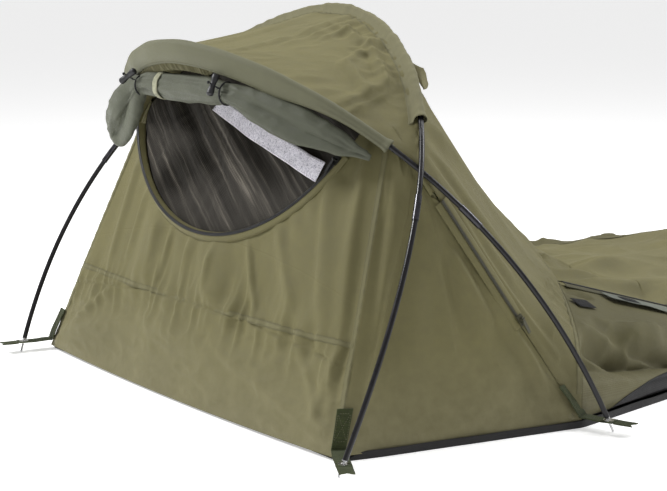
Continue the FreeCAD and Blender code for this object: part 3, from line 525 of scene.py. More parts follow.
def webbing_material(name, color):
    """Ribbed woven webbing with faded ribs."""
    mat, tree, shader = material(name, 0.8, Sheen_Weight=0.12, Specular_IOR_Level=0.15)
    ribs = bands(tree, add(tree, "TexCoord", out="UV"), 0.0022, "Y", Distortion=0.6, Detail_Scale=2.0)
    cross, fine = threads(tree, 0.0011), noise_of(tree, 160.0, 4.0, 0.65)
    tone = tinted(tree, color, ramp(tree, ribs, (0.0, 0.62), (0.8, 1.25)))
    tone = tinted(tree, tone, ramp(tree, fine, (0.3, 0.75), (0.7, 1.3)))
    return wired(mat, tree, shader, tone, [(ribs, 0.0009, 0.9), (cross, 0.0004, 0.6), (fine, 0.0006, 0.4)])


def worn_material(name, color, rough, metallic=0.0, coat=0.0, scratch=0.25, scale=90.0, stretch=(1, 1, 1), **inputs):
    """Hard materials: faint streaks and uneven polish."""
    mat, tree, shader = material(name, rough, Metallic=metallic, Coat_Weight=coat, Coat_Roughness=0.12, **inputs)
    fine, broad = noise_of(tree, scale, 5.0, 0.65, stretch), noise_of(tree, 7.0, 2.0)
    tone = tinted(tree, color, ramp(tree, fine, (0.25, 1 - scratch), (0.75, 1 + scratch)))
    tone = tinted(tree, tone, ramp(tree, broad, (0.3, 0.9), (0.7, 1.1)))
    polish = (fine, (0.3, max(0.03, rough - 0.08)), (0.75, rough + 0.12))
    return wired(mat, tree, shader, tone, [(fine, 0.0002, 0.15)], polish)


def speckled_material(name):
    """The blank label: pale lilac cloth with a dark fleck."""
    mat, tree, shader = material(name, 0.7, Sheen_Weight=0.1)
    fleck, broad, weave = noise_of(tree, 420.0, 3.0, 0.75), noise_of(tree, 40.0, 3.0), threads(tree, 0.0012)
    tone = ramp(tree, fleck, (0.34, (0.24, 0.23, 0.30)), (0.44, (0.66, 0.64, 0.72)), (0.58, (0.92, 0.90, 0.96)))
    tone = tinted(tree, tone, ramp(tree, broad, (0.3, 0.86), (0.7, 1.1)))
    return wired(mat, tree, shader, tone, [(broad, 0.002, 0.3), (weave, 0.0004, 0.6)])


olive = cloth_material("olive_nylon", (0.152, 0.138, 0.060))
# painted shade: the same olive nylon made darker for the sack's sides, which lie in shadow
painted_shade_olive = cloth_material("sack_side_nylon_painted_shade", (0.104, 0.095, 0.040), crease=0.45)
sleeve_olive = cloth_material("sleeve_nylon", (0.168, 0.158, 0.086), crease=0.22, mottle=0.10)
brow_green = cloth_material("brow_nylon", (0.128, 0.128, 0.078), crease=0.15, mottle=0.10, rough=0.55)
lining = cloth_material("door_lining_nylon", (0.092, 0.098, 0.070), rough=0.5, sheen=0.3, crease=0.5)
flap_grey = cloth_material("storm_flap_nylon", (0.135, 0.150, 0.125), rough=0.5, sheen=0.35)
tub_black = cloth_material("tub_coated_cloth", (0.010, 0.010, 0.012), rough=0.5, sheen=0.0, dust=0.02)
seam_olive = cloth_material("seam_tape", (0.150, 0.139, 0.068), crease=0.2)
# thread colour, then the gaps' near-black colour, which is painted shade of the inside
net = net_material("insect_net", (0.040, 0.036, 0.030), (0.0065, 0.006, 0.005), 0.0024)
webbing = webbing_material("green_webbing", (0.040, 0.050, 0.016))
tie_tape = webbing_material("pale_tie_tape", (0.36, 0.36, 0.25))
velcro = webbing_material("hook_and_loop", (0.007, 0.007, 0.008))
label_cloth = speckled_material("label_cloth")
thread = cloth_material("sewing_thread", (0.105, 0.098, 0.052), pitch=0.0005, rough=0.7)
pole_gloss = worn_material("glossy_pole", (0.005, 0.0045, 0.006), 0.30, coat=0.12, scratch=0.4,
                           stretch=(1, 1, 0.12), Specular_IOR_Level=0.3)
ferrule_dark = worn_material("ferrule", (0.035, 0.034, 0.040), 0.28, metallic=0.9, coat=0.4)
cord_black = webbing_material("elastic_cord", (0.016, 0.016, 0.018))
steel = worn_material("pin_steel", (0.55, 0.55, 0.56), 0.24, metallic=1.0)
silver = worn_material("eyelet_silver", (0.72, 0.71, 0.69), 0.27, metallic=1.0)
slider_dark = worn_material("slider_enamel", (0.030, 0.031, 0.030), 0.35, metallic=0.7, coat=0.3, scratch=0.4)
toggle_black = worn_material("toggle_plastic", (0.014, 0.014, 0.016), 0.42, scratch=0.35, scale=220.0)
coil_olive = worn_material("olive_zip_coil", (0.046, 0.043, 0.024), 0.5, scratch=0.3)
slider_olive = worn_material("olive_slider_enamel", (0.060, 0.057, 0.034), 0.4, metallic=0.4, coat=0.2,
                             scratch=0.4)
coil_black = worn_material("zip_coil_nylon", (0.018, 0.018, 0.020), 0.38, scratch=0.3)
zip_tape = cloth_material("zip_tape", (0.085, 0.080, 0.045), pitch=0.0007, crease=0.15)

# ---- cloth panels
CLOTH = 0.0009  # thickness shown for coated nylon


def panel(name, nodes, surface, size, mat, u=(-1, 1), v=(0, 1), relief=None, inside=INSIDE, lift=0.0, keep=None,
          moved=None, thick=CLOTH):
    """One cloth panel on its surface, standing for its CAD nodes. inside may be a function of v."""
    cols, rows = size
    grid_u, grid_v = np.meshgrid(np.linspace(*u, cols), np.linspace(*v, rows))
    heart = inside(grid_v) if callable(inside) else inside
    points, normals = lifted(surface, grid_u, grid_v, heart, relief, lift)
    if moved:
        points = moved(points)
    sweep(name, points, mat, normals, nodes, thick=thick, keep=keep)


# Roof between the hoops: a few long creases off the main hoop, and a crumpled patch over the right side
roof_strokes = folds(canopy, [
    (18, 95, 22, 15, 12, 4.5, 30), (24, 96, 25, 45, 8, 4, -30), (31, 97, 30, 62, 7, 3.5, 0),
    (27, 84, 41, 82, 10, 6.5, 40), (41, 86, 60, 77, 10, 7.5, -30), (58, 82, 70, 74, 9, 7, 30),
    (68, 79, 72, 16, 13, 7.5, 35), (52, 60, 70, 52, 11, 5, 20), (44, 92, 52, 55, 9, 5.5, -20),
    (57, 10, 61, 42, 12, -5, 0), (72, 72, 76, 12, 8, 5, 30), (36, 40, 80, 48, 18, -4.5, 0),
    (-10, 92, 2, 20, 20, 4, 20), (-35, 90, -30, 15, 14, 5, -20), (-58, 85, -52, 20, 13, 5.5, 20),
    (2, 55, 28, 60, 22, -4, 0),
])


def roof_relief(u, v, point):
    soft = crumple(point, 0.16, 3, (1, 0.5, 1)) * 0.0012
    patch = bell(u - 0.42, 0.22) * bell(v - 0.80, 0.16)
    sharp = creased(point, 0.045, 4, (1, 0.6, 1)) * (0.0012 + 0.0030 * patch) * smooth((u + 0.2) / 0.6)
    edge = creased(point, 0.020, 5, (1, 0.2, 1)) * 0.0016 * (1 - smooth(np.minimum(v, 1 - v) / 0.14))
    height = (soft + sharp + roof_strokes(point) * 1.5) * border(u, v, 0.06, 0.07)
    height += edge * 1.6 * border(u, v, 0.05, 0.015)
    return np.where(height < 0, height * 0.35, height)


panel("roof_canopy_cloth", ["roof_canopy"], canopy, (240, 90), olive, relief=roof_relief)

# Door wall: gathers above and below the cross seam, long soft folds, and the round of the door
SEAM_V = (SEAM_HEIGHT - TUB) / float(arch(0.0)[2] - TUB)
WALL_HEM = -0.019  # the wall's hem reaches down over the tub's rim

wall_strokes = folds(door_wall, [
    (-82, 86, -74, 20, 16, 6, 30), (-60, 74, -62, 34, 10, 6, -30), (-46, 60, -40, 35, 12, 4.5, 20),
    (-30, 50, -30, 30, 9, 4.8, 30), (-14, 46, -13, 28, 10, 4.2, -30), (6, 45, 8, 29, 10, 4.5, 20),
    (26, 47, 42, 28, 9, 6, 40), (40, 56, 66, 30, 14, 4.8, 20), (62, 92, 80, 34, 18, 6.5, -20),
    (88, 95, 93, 6, 13, 6, 30), (-93, 4, -30, 17, 22, 6, 40), (-35, 17, 35, 13, 26, 4.5, 30),
    (30, 14, 92, 3, 20, 5.5, -30), (-86, 10, -62, 24, 10, 5.5, 20), (92, 30, 86, 6, 12, 5, 20),
    (70, 26, 90, 5, 12, 4.2, 20),
])


def window_place(point):
    """A point's place in the window's plane: along X, up the plane, and its distance from the centre."""
    away = point - WINDOW_CENTRE
    across, up = away[..., 0], away @ WINDOW_UP
    return across, up, np.hypot(across, up)


def wall_relief(u, v, point):
    """Cloth pulled up and down off the cross seam, with small gathers beside it."""
    gap = np.abs(v - SEAM_V)
    beside = bell(gap, 0.075) * smooth(gap / 0.006)
    gathers = creased(point, 0.050, 11, (1, 0.05, 0.16)) * 0.0046 * beside
    tall = crumple(point, 0.14, 12, (1, 0.2, 0.22)) * 0.0034 * smooth((v - SEAM_V) / 0.05)
    low = crumple(point, 0.20, 13, (0.6, 0.5, 1)) * 0.0024 * smooth((SEAM_V - v) / 0.04)
    low = low + creased(point, 0.045, 14, (0.5, 0.5, 1)) * 0.0012 * smooth((SEAM_V - v) / 0.04)
    across, up, radius = window_place(point)
    turn = np.arctan2(across, -up)
    pulls = np.sin(turn * 41 + 2.2 * np.sin(turn * 9)) + 0.6 * np.sin(turn * 67 + 1.3)
    tall = tall + pulls * 0.0011 * bell(np.maximum(radius - WINDOW_RADIUS - 0.012, 0), 0.030)
    hem = border(u, v * 0.98 + 0.02, 0.05, 0.03)
    calm = 0.25 + 0.75 * smooth((np.abs(radius - WINDOW_RADIUS) - 0.010) / 0.035)  # flat beside the door zip
    return (gathers + tall + low + wall_strokes(point)) * 1.5 * hem * calm


def net_relief(u, v, point):
    """The net hangs in folds that run down to the right from the roll."""
    across, up, radius = window_place(point)
    slant = across * 0.57 + up * 0.82
    folds_across = np.sin(slant * 62 + np.sin(up * 9) * 1.3) + 0.6 * np.sin(slant * 131 + 1.0)
    return (folds_across - 1.6) * 0.0045 * smooth((WINDOW_RADIUS - radius) / 0.10) + wall_relief(u, v, point) * 0.3


SNAP_NEAR = 0.0032
LAP_OUTSIDE, LAP_INSIDE = 0.0005, 0.0035  # how far the wall and the net pass the round of the door


def snap_to_window(points):
    """Moves the grid's points that lie near the round of the door onto it."""
    across, up, radius = window_place(points)
    near = np.abs(radius - WINDOW_RADIUS) < SNAP_NEAR
    move = (WINDOW_RADIUS / np.maximum(radius, 1e-6) - 1) * near
    return points + (across * move)[..., None] * RIGHT + (up * move)[..., None] * WINDOW_UP


def outside_window(centres):
    return window_place(centres)[2] > WINDOW_RADIUS - LAP_OUTSIDE


def inside_window(centres):
    return window_place(centres)[2] < WINDOW_RADIUS + LAP_INSIDE


panel("door_wall_cloth", ["door_wall_lower", "door_wall_upper"], door_wall, (260, 170), olive, v=(WALL_HEM, 0.985),
      relief=wall_relief, keep=outside_window, moved=snap_to_window)
panel("mesh_door_net", ["mesh_door"], door_wall, (260, 170), net, v=(SEAM_V + 0.02, 0.955), relief=net_relief,
      lift=-0.002, keep=inside_window, moved=snap_to_window, thick=CLOTH / 2)

# Side walls: soft folds that fan out below the crossing of the hoops
side_strokes = {
    1: [
        (95, 95, 55, 33, 16, 6.5, 30), (70, 86, 74, 28, 18, 5.5, -20), (76, 66, 82, 40, 9, 5, 30),
        (94, 55, 97, 10, 12, 6.5, 30), (50, 88, 6, 12, 14, 7, 35), (20, 90, 10, 30, 10, 5, -30),
        (60, 80, 30, 20, 28, 4.5, 0), (97, 30, 90, 4, 10, 5, 20), (88, 24, 55, 5, 30, 4.5, 20),
    ],
    -1: [
        (60, 92, 50, 25, 18, 6, 20), (85, 88, 75, 20, 14, 5.5, -20), (30, 90, 12, 15, 13, 6, 20),
        (92, 40, 85, 5, 12, 5, 20),
    ],
}
for side, end in ((1, "right"), (-1, "left")):
    shape = side_wall(side)
    strokes = folds(shape, side_strokes[side])

    def side_relief(u, v, point, strokes=strokes, seed=20 + side):
        fan = crumple(point, 0.13, seed, (0.9, 0.9, 0.25)) * 0.0032
        wrinkle = creased(point, 0.05, seed + 5, (1, 1, 0.3)) * 0.0024 * smooth((v - 0.55) / 0.4)
        low = crumple(point, 0.045, seed + 9, (0.6, 0.6, 1)) * 0.0010 * smooth((0.15 - v) / 0.1)
        return (fan + wrinkle + low + strokes(point)) * 1.4 * border(u, v, 0.07, 0.04, 0.0)

    panel(f"side_wall_{end}_cloth", [f"side_wall_{end}"], shape, (150, 150), olive, u=(0, 1), v=(-0.014, 1),
          relief=side_relief)

# Rear slope: tension folds from the crossings, long soft hollows down to the sack
rear_strokes = folds(rear_slope, [
    (95, 2, 86, 60, 16, 7.5, 30), (90, 4, 70, 70, 20, 6.5, -20), (82, 3, 55, 45, 16, 6, 20),
    (97, 10, 95, 85, 10, 6, 20), (60, 5, 40, 80, 24, 5, 20), (20, 4, 15, 90, 26, 4.5, 0),
    (-20, 4, -12, 90, 24, 4.5, 0), (-55, 5, -40, 80, 22, 5.5, 20), (-92, 4, -75, 70, 18, 6.5, 20),
    (-97, 10, -93, 85, 10, 6, 20), (35, 90, 85, 84, 12, 6, 30), (-85, 84, -35, 90, 12, 6, 30),
])


def rear_relief(u, v, point):
    soft = crumple(point, 0.20, 31, (0.9, 0.35, 0.35)) * 0.0045
    ends = smooth((0.3 - v) / 0.25) + smooth((v - 0.75) / 0.2)
    sharp = creased(point, 0.06, 32, (1, 0.25, 0.25)) * 0.0026 * ends
    return (soft + sharp + rear_strokes(point)) * 1.5 * border(u, v, 0.05, 0.05)


panel("rear_slope_cloth", ["rear_slope_panel"], rear_slope, (280, 150), olive, relief=rear_relief)

# Sack: a slack top with folds fanning from the head seam, and slumping sides above a black tub
sack_top, sack_sides = sack(True), sack(False)


def sack_heart(v):
    """Middle of the sack at v, to tell out from in."""
    point = sack_top(0.0, v)
    point[..., 2] = 0.02
    return point


top_strokes = folds(sack_top, [
    (10, 2, -30, 30, 30, 12, 20), (30, 2, 20, 36, 26, 12, -20), (55, 2, 50, 30, 22, 10, 20),
    (75, 3, 74, 34, 20, 10, 30), (88, 4, 90, 40, 14, 8, 30), (-25, 2, -10, 40, 30, 11, 20),
    (-60, 2, -40, 35, 26, 11, -20), (-85, 3, -75, 40, 20, 9, 20), (60, 40, 20, 62, 34, 9, 10),
    (-50, 45, 5, 70, 34, 9, -10), (30, 66, 62, 90, 30, 8, 10), (-60, 72, -20, 92, 30, 8, 10),
])


def top_relief(u, v, point):
    soft = crumple(point, 0.30, 41, (1, 0.4, 1)) * 0.0085
    sharp = creased(point, 0.10, 42, (1, 0.4, 1)) * 0.0045
    height = (soft + sharp + top_strokes(point) - 0.004) * 1.35 * border(u, v, 0.06, 0.03)
    landing = smooth((u - 0.74) / 0.10) * smooth((0.34 - v) / 0.08)  # where the front storm flap folds over
    return height * (1 - landing) + np.minimum(height, -0.002) * landing


DRAPES = (
    (50, 2, 84, 15, 17, 16, 40), (56, 9, 80, 24, 15, 14, -30), (66, 1, 93, 8, 12, 12, 30),
    (58, 20, 82, 36, 18, 13, 30), (60, 42, 80, 55, 20, 11, -20), (55, 62, 84, 74, 20, 11, 20),
)
side_drapes = folds(sack_sides, [(side * a, b, side * c, *rest) for side in (1, -1) for a, b, c, *rest in DRAPES])


def sack_side_relief(u, v, point):
    drape = crumple(point, 0.20, 51, (1, 0.7, 0.5)) * 0.0075 + creased(point, 0.07, 52, (1, 0.8, 0.4)) * 0.0040
    side = np.abs(u)
    bulge = 0.010 * bell(side - 0.44, 0.10)
    hollow = 0.046 * smooth((side - 0.50) / 0.22) * smooth((1 - side) / 0.14)
    drape = drape * 1.5 + bell(v - 0.14, 0.20) * (bulge - hollow) + side_drapes(point)
    zone = (u > 0) * smooth((0.50 - side) / 0.12)  # room for the storm flap and its patches
    drape = drape * (1 - zone) + np.minimum(drape, 0.0004) * zone
    return drape * smooth(side / 0.10) * smooth((1 - side) / 0.16) * smooth(v / 0.02) * smooth((1 - v) / 0.02)


panel("sack_top_cloth", ["sack_top_panel"], sack_top, (170, 330), olive, relief=top_relief, inside=sack_heart)
BAND = 0.88  # share of the side where the tub's black cloth begins
for side, end in ((1, "right"), (-1, "left")):
    # the sides wear the darker olive copy, which is painted shade
    panel(f"sack_side_{end}_cloth", [f"sack_side_{end}"], sack_sides, (60, 360), painted_shade_olive,
          u=sorted((side * 0.001, side)), relief=sack_side_relief, inside=sack_heart)
    rows_at, share = np.linspace(0.0, 1.0, 320), np.linspace(0, 1, 22)
    begin = 1 - (1 - BAND) * smooth((rows_at - 0.05) / 0.16) * (0.72 + 0.28 * np.sin(rows_at * 9 + side))
    grid_u = side * (begin[:, None] + (1 - begin[:, None]) * share)
    grid_v = np.broadcast_to(rows_at[:, None], grid_u.shape)
    points, normals = lifted(sack_sides, grid_u, grid_v, sack_heart(grid_v), sack_side_relief, 0.0013)
    points[:, 0] -= normals[:, 0] * 0.0016
    sweep(f"tub_side_{end}", points, tub_black, normals, thick=CLOTH)


def foot_end(u, v):
    """The D-shaped end, from its rim (v 0) to its middle (v 1)."""
    u, v = np.broadcast_arrays(np.asarray(u, float), np.asarray(v, float))
    rim = section_point(SACK_SECTIONS[-1], np.sin(u * math.pi / 2))
    heart = np.array((0.0, SACK_SECTIONS[-1][0], TUB + 0.012))
    point = mix(rim, np.broadcast_to(heart, rim.shape), v)
    point[..., 1] += 0.004 * np.sin(np.clip(v, 0, 1) * math.pi / 2)
    return point


FOOT_HEART = np.array((0, 1.9, 0.04))
panel("foot_end_cloth", ["foot_end_panel"], foot_end, (120, 30), olive, v=(0, 0.999), inside=FOOT_HEART,
      relief=lambda u, v, point: crumple(point, 0.08, 61) * 0.0015 * smooth(v / 0.2))

# ---- groundsheet
OUTLINE_Y = (-0.205, 0.228, 0.708, 1.800, 2.056)
OUTLINE_LEFT = (-0.488, -0.548, -0.500, -0.352, -0.301)
OUTLINE_RIGHT = (0.441, 0.548, 0.500, 0.352, 0.301)
RIM = 0.0125


def tub(u, v):
    """The tub: flat for |u| under 1, its turned-up sides from 1 to 2."""
    u, v = np.broadcast_arrays(np.asarray(u, float), np.asarray(v, float))
    y = OUTLINE_Y[0] + (OUTLINE_Y[-1] - OUTLINE_Y[0]) * v
    flat_u = np.clip(u, -1, 1)
    left, right = np.interp(y, OUTLINE_Y, OUTLINE_LEFT), np.interp(y, OUTLINE_Y, OUTLINE_RIGHT)
    x = left + (right - left) * (flat_u + 1) / 2
    slant = -0.180 - (x + 0.488) * 0.0215  # the front edge lies inside the door wall
    y = slant + (OUTLINE_Y[-1] - slant) * v
    turned_up = np.clip(np.abs(u) - 1, 0, 1)
    wave = 0.0012 * np.sin(y * 46) * turned_up
    up = turned_up * RIM * smooth((y - OUTLINE_Y[0]) / 0.05)
    proud = 0.0008 + 0.0030 * smooth((y + 0.190) / 0.06)
    return np.stack([x + np.sign(u) * (wave + proud), y + 0 * x, 0.0006 + up], -1)


columns = np.concatenate([np.linspace(-2, -1.02, 6), np.linspace(-1, 1, 60), np.linspace(1.02, 2, 6)])
grid_u, grid_v = np.meshgrid(columns, np.linspace(0, 1, 260))
points = tub(grid_u, grid_v)
points[..., 2] += np.maximum(crumple(points, 0.11, 71, (1, 0.8, 1)) * 0.0012 * (np.abs(grid_u) < 1), -0.0004)
sweep("groundsheet_tub", points, tub_black, nodes=["groundsheet"], thick=0.0012, centred=True)

# ---- swept pieces
def squared(direction, along):
    """The unit direction square to along that is nearest to direction."""
    along = unit(along)
    return unit(direction - along * (direction @ along))


def axes_along(points, toward):
    """Unit tangents of a line, and unit directions square to it nearest to toward."""
    tangent = tangents(points)
    side = unit(toward - tangent * (toward * tangent).sum(-1, keepdims=True))
    return tangent, side, np.cross(tangent, side)


def frames_along(points, normals, step):
    """Even points of a line, with the normals, tangents and sideways directions there."""
    run = run_along(points)
    at = np.linspace(0, run[-1], max(2, int(run[-1] / step) + 1))
    line, out = (np.stack([np.interp(at, run, values[:, k]) for k in range(3)], -1) for values in (points, normals))
    out, tangent = unit(out), tangents(line)
    return line, out, tangent, np.cross(tangent, out)


def off_centre(rings):
    """Each ring's points as seen from its middle."""
    return rings - rings.mean(axis=1, keepdims=True)


def circling(first, second, angle):
    """Unit ways round a circle from one direction towards another."""
    return np.cos(angle)[:, None] * first + np.sin(angle)[:, None] * second


def grid_group(grid, closed=False):
    """A grid of points as (points, faces)."""
    return grid.reshape(-1, 3), grid_faces(*grid.shape[:2], closed)


def joined(name, groups, mat, body=SHELL, nodes=()):
    """One mesh from (points, faces) groups."""
    faces, start = [], 0
    for points, group_faces in groups:
        faces.extend([[start + k for k in face] for face in group_faces])
        start += len(points)
    points = np.concatenate([points for points, _ in groups])
    return finish_piece(mesh_object(name, points, faces, points[:, :2]), body, mat, nodes)


STITCH_FACES = [(0, 1, 4), (1, 2, 4), (2, 3, 4), (3, 0, 4), (1, 0, 5), (2, 1, 5), (3, 2, 5), (0, 3, 5)]
STITCH_LENGTH, STITCH_WIDTH, STITCH_HEIGHT, STITCH_LIFT = 0.0028, 0.0005, 0.00045, 0.0002
stitch_groups, seam_groups = [], []


def stitch_row(points, normals, pitch=0.0042):
    """A row of stitches, each a small lens of thread standing on the cloth."""
    frames = frames_along(points, np.broadcast_to(normals, points.shape), pitch)
    for p, n, t, a in list(zip(*frames))[1:-1]:
        seat = p + n * STITCH_LIFT
        corners = [seat - t * STITCH_LENGTH / 2, seat - a * STITCH_WIDTH, seat + t * STITCH_LENGTH / 2,
                   seat + a * STITCH_WIDTH, seat + n * STITCH_HEIGHT, seat - n * STITCH_HEIGHT]
        stitch_groups.append((np.array(corners), STITCH_FACES))


SEAM_SUNK = -0.0006  # the band's edges lie under the cloth


def seam_strip(points, normals, width=0.010, height=0.0010, pucker=0.0):
    """A felled seam: a raised band along a line, with two rows of stitches."""
    across = np.cross(tangents(points), normals)
    run = run_along(points)
    ripple = pucker * np.sin(run * 2 * math.pi / 0.021 + np.sin(run * 31))
    half = [(0.5, SEAM_SUNK), (0.46, height * 0.7), (0.2, height)]
    profile = [(-a, b) for a, b in half] + half[::-1]
    seam_groups.append(grid_group(np.stack([
        points + across * (width * a) + normals * (b + ripple * (abs(a) < 0.49))[:, None] for a, b in profile], 1)))
    for a in (-0.34, 0.34):
        stitch_row(points + across * (width * a) + normals * (height + ripple)[:, None], normals)


# ---- main sleeve
MAIN_MOUTH_U, BROW_MOUTH_U = 0.860, 0.915
SLEEVE_ROUND, SLEEVE_THICK = 0.0079, 0.0009


def over_pole(centre, right, up, radius, front, back):
    """Cloth from its front flange over a pole to its back flange, in the plane of right and up."""
    ends = []
    for flange in (front, back):
        away = flange - centre
        place = math.atan2(away @ right, away @ up)
        touch = math.acos(min(1.0, radius / max(np.linalg.norm(away), radius)))
        ends.append(place - math.copysign(touch, place))
    return [centre + radius * (math.sin(a) * right + math.cos(a) * up) for a in np.linspace(*ends, 11)]


def hoop_gap(u):
    """Distance between the hoops' arcs, which the roof spans."""
    gap = tucked(MAIN, u, MAIN_TUCK) - tucked(BROW, u, BROW_TUCK)
    return np.maximum(np.linalg.norm(gap, axis=1), 0.02)


def mouth_flare(u, mouth_u):
    """How much wider a sleeve is at its open ends."""
    return 0.0030 * smooth((np.abs(u) - (mouth_u - 0.02)) / 0.02)


def main_sleeve_rows():
    """Cross-sections from the roof's flange over the pole to the rear slope's flange."""
    spans = np.linspace(-MAIN_MOUTH_U, MAIN_MOUTH_U, 420)
    poles = MAIN.arc(spans)
    _, out, across = axes_along(poles, poles - HOOP_HEART)
    gap, slope_run = hoop_gap(spans), np.linalg.norm(rear_seam(spans) - poles, axis=1)
    front = lifted(canopy, spans, 1 - np.minimum(0.019 / gap, 0.5), relief=roof_relief, lift=0.0004)[0]
    near = lifted(canopy, spans, 1 - np.minimum(0.010 / gap, 0.4), lift=0.0014)[0]
    far = lifted(rear_slope, spans, 0.009 / slope_run, lift=0.0014)[0]
    back = lifted(rear_slope, spans, 0.015 / slope_run, relief=rear_relief, lift=0.0004)[0]
    radius = SLEEVE_ROUND + crumple(poles, 0.024, 81) * 0.0008 + mouth_flare(spans, MAIN_MOUTH_U)
    rings = [over_pole(*each) for each in zip(poles, across, out, radius, near, far)]
    flanges = [np.stack([a, mix(a, b, 0.5), b], 1) for a, b in ((front, near), (far, back))]
    return np.concatenate([flanges[0], np.array(rings), flanges[1]], 1), out


main_rows, main_out = main_sleeve_rows()
sweep("main_sleeve_cloth", main_rows, sleeve_olive, main_out[:, None], ["main_sleeve"],
      thick=SLEEVE_THICK)
for edge, beside in ((0, 1), (-1, -2)):
    stitch_row(mix(main_rows[:, edge], main_rows[:, beside], 0.15) + main_out * 0.0006, main_out)

# ---- brow: sleeve, hanging band and ruched hem
DOWN = np.array((0.0, 0.30, -0.954))  # the way the band hangs
BROW_FRONT = np.array((0, -1.0, 0.2))


def brow_lines(spans):
    """The brow pole's points, their outward, downward and forward directions, and the band's drop."""
    poles = BROW.arc(spans)
    tangent, out, _ = axes_along(poles, poles - HOOP_HEART)
    down = unit(DOWN - tangent * (tangent @ DOWN)[:, None])
    front = unit(np.cross(tangent, down))
    front *= np.sign((front * BROW_FRONT).sum(-1, keepdims=True))
    fade = smooth((BROW_MOUTH_U - np.abs(spans)) / 0.40)
    return poles, out, down, front, 0.009 + 0.022 * fade * fade


def brow_sleeve_rows():
    """Cross-sections from the roof's flange over the pole, down the band and round its hem."""
    spans = np.linspace(-BROW_MOUTH_U, BROW_MOUTH_U, 460)
    poles, out, down, front, drop = brow_lines(spans)
    back_v = np.minimum(0.0135 / hoop_gap(spans), 0.45)
    back = lifted(canopy, spans, back_v, relief=roof_relief, lift=0.0005)[0]
    near = lifted(canopy, spans, back_v * 0.55, lift=0.0016)[0]
    radius = SLEEVE_ROUND + 0.0010 + crumple(poles, 0.11, 91) * 0.0010 + mouth_flare(spans, BROW_MOUTH_U)
    rows = []
    for pole, d, f, fall, start_at, flange, r in zip(poles, down, front, drop, near, back, radius):
        away = start_at - pole
        start = math.atan2(away @ -d, away @ f) % (2 * math.pi)
        start -= math.acos(min(1.0, r / max(np.linalg.norm(away), r)))
        arc = [pole + r * (math.cos(a) * f - math.sin(a) * d) for a in np.linspace(start, -0.15, 9)]
        hang = [pole + f * (r * (1 - 0.15 * t) + 0.002 * math.sin(t * math.pi)) + d * (fall * t)
                for t in (0.2, 0.45, 0.7, 0.9, 1.0)]
        lip = [hang[-1] - f * 0.0030 + d * 0.0012, hang[-1] - f * 0.0036 - d * 0.009]
        rows.append([flange, start_at, *arc, *hang, *lip])
    return np.array(rows), out


brow_points, brow_out = brow_sleeve_rows()
sweep("brow_sleeve_cloth", brow_points, brow_green, brow_out[:, None], ["brow_sleeve"],
      thick=SLEEVE_THICK)
band_front = unit(brow_points[:, -4] - brow_points[:, -2])
stitch_row(brow_points[:, -4] + band_front * 0.0008, band_front)
stitch_row(mix(brow_points[:, 0], brow_points[:, 1], 0.2) + brow_out * 0.0006, brow_out)

HEM_LEFT, HEM_RIGHT = -0.62, 0.30


def ruched_hem():
    """The gathered elastic edge below the band."""
    spans = np.linspace(HEM_LEFT, HEM_RIGHT, 700)
    poles, _, down, front, drop = brow_lines(spans)
    run = run_along(poles)
    wave = np.sin(run * 2 * math.pi / 0.0105 + 1.6 * np.sin(run * 37)) + 0.4 * np.sin(run * 2 * math.pi / 0.0043)
    fade = smooth((spans - HEM_LEFT) / 0.08) * smooth((HEM_RIGHT - spans) / 0.10)
    rows = []
    for t in np.linspace(0, 1, 7):
        depth = drop - 0.006 + 0.021 * t * fade
        push = 0.0052 - 0.0050 * t + wave * 0.0030 * math.sin(math.pi * min(1, t * 0.8 + 0.1)) * fade
        rows.append(poles + down * depth[:, None] + front * push[:, None])
    return np.array(rows), front


hem_rows, hem_front = ruched_hem()
sweep("elastic_hem", hem_rows, sleeve_olive, hem_front, thick=0.0012)

# ---- rolled door flap
# centre x, y, z, half depth and half height along the roll, in millimetres, from left to right
ROLL = np.array((
    (-274, -160, 441, 6, 12), (-256, -164, 457, 13, 30), (-226, -170, 484, 16, 36), (-194, -174, 513, 16, 31),
    (-164, -176, 537, 15, 22), (-134, -176, 548, 17, 18), (-90, -176, 549, 19, 21), (-20, -176, 548, 20, 23),
    (70, -180, 549, 19, 22), (136, -176, 545, 17, 19), (186, -160, 527, 15, 27), (246, -134, 503, 13, 30),
    (300, -104, 482, 10, 22), (332, -84, 466, 6, 12), (354, -68, 455, 3, 5),
)) / 1000
# where each layer's edge runs round the roll: angle, drift along the roll, width, depth
LAYERS = (
    (0.6, 1.9, 0.16, 0.16), (1.5, -0.9, 0.12, 0.13), (2.3, 1.2, 0.20, 0.18), (3.6, -1.4, 0.16, 0.12),
    (1.05, 0.5, 0.07, 0.09), (1.95, -0.3, 0.08, 0.10), (4.8, 0.8, 0.2, 0.12),
)
PINCHES = ((-0.075, 0.10), (0.118, 0.16), (-0.146, 0.16))  # x and depth under the tie and the cords


def spline(table, count):
    """A smooth curve through the table's rows."""
    padded = np.vstack([2 * table[0] - table[1], table, 2 * table[-1] - table[-2]])
    at = np.linspace(0, 1, count) * (len(table) - 1)
    i = np.minimum(at.astype(int), len(table) - 2)
    t = (at - i)[:, None]
    p0, p1, p2, p3 = (padded[i + k] for k in range(4))
    return 0.5 * (2 * p1 + (p2 - p0) * t + (2 * p0 - 5 * p1 + 4 * p2 - p3) * t * t + (
        3 * p1 - p0 - 3 * p2 + p3) * t ** 3)


def ring_at(i, angle, grow):
    """The roll's outline at one of its points: angle 0 is up, and 90 degrees faces the front."""
    tangent = unit(roll_line[min(i + 1, len(roll_line) - 1), :3] - roll_line[max(i - 1, 0), :3])
    up = squared(UP, tangent)
    front = np.cross(up, tangent)
    front = front * np.sign(front @ np.array((0.2, -1.0, 0.0)))
    half_y, half_z = roll_line[i, 3] * grow, roll_line[i, 4] * grow
    return roll_line[i, :3] + up * (half_z * np.cos(angle))[:, None] + front * (half_y * np.sin(angle))[:, None]


def turned(angle):
    """An angle brought within half a turn of 0."""
    return (angle + math.pi) % (2 * math.pi) - math.pi


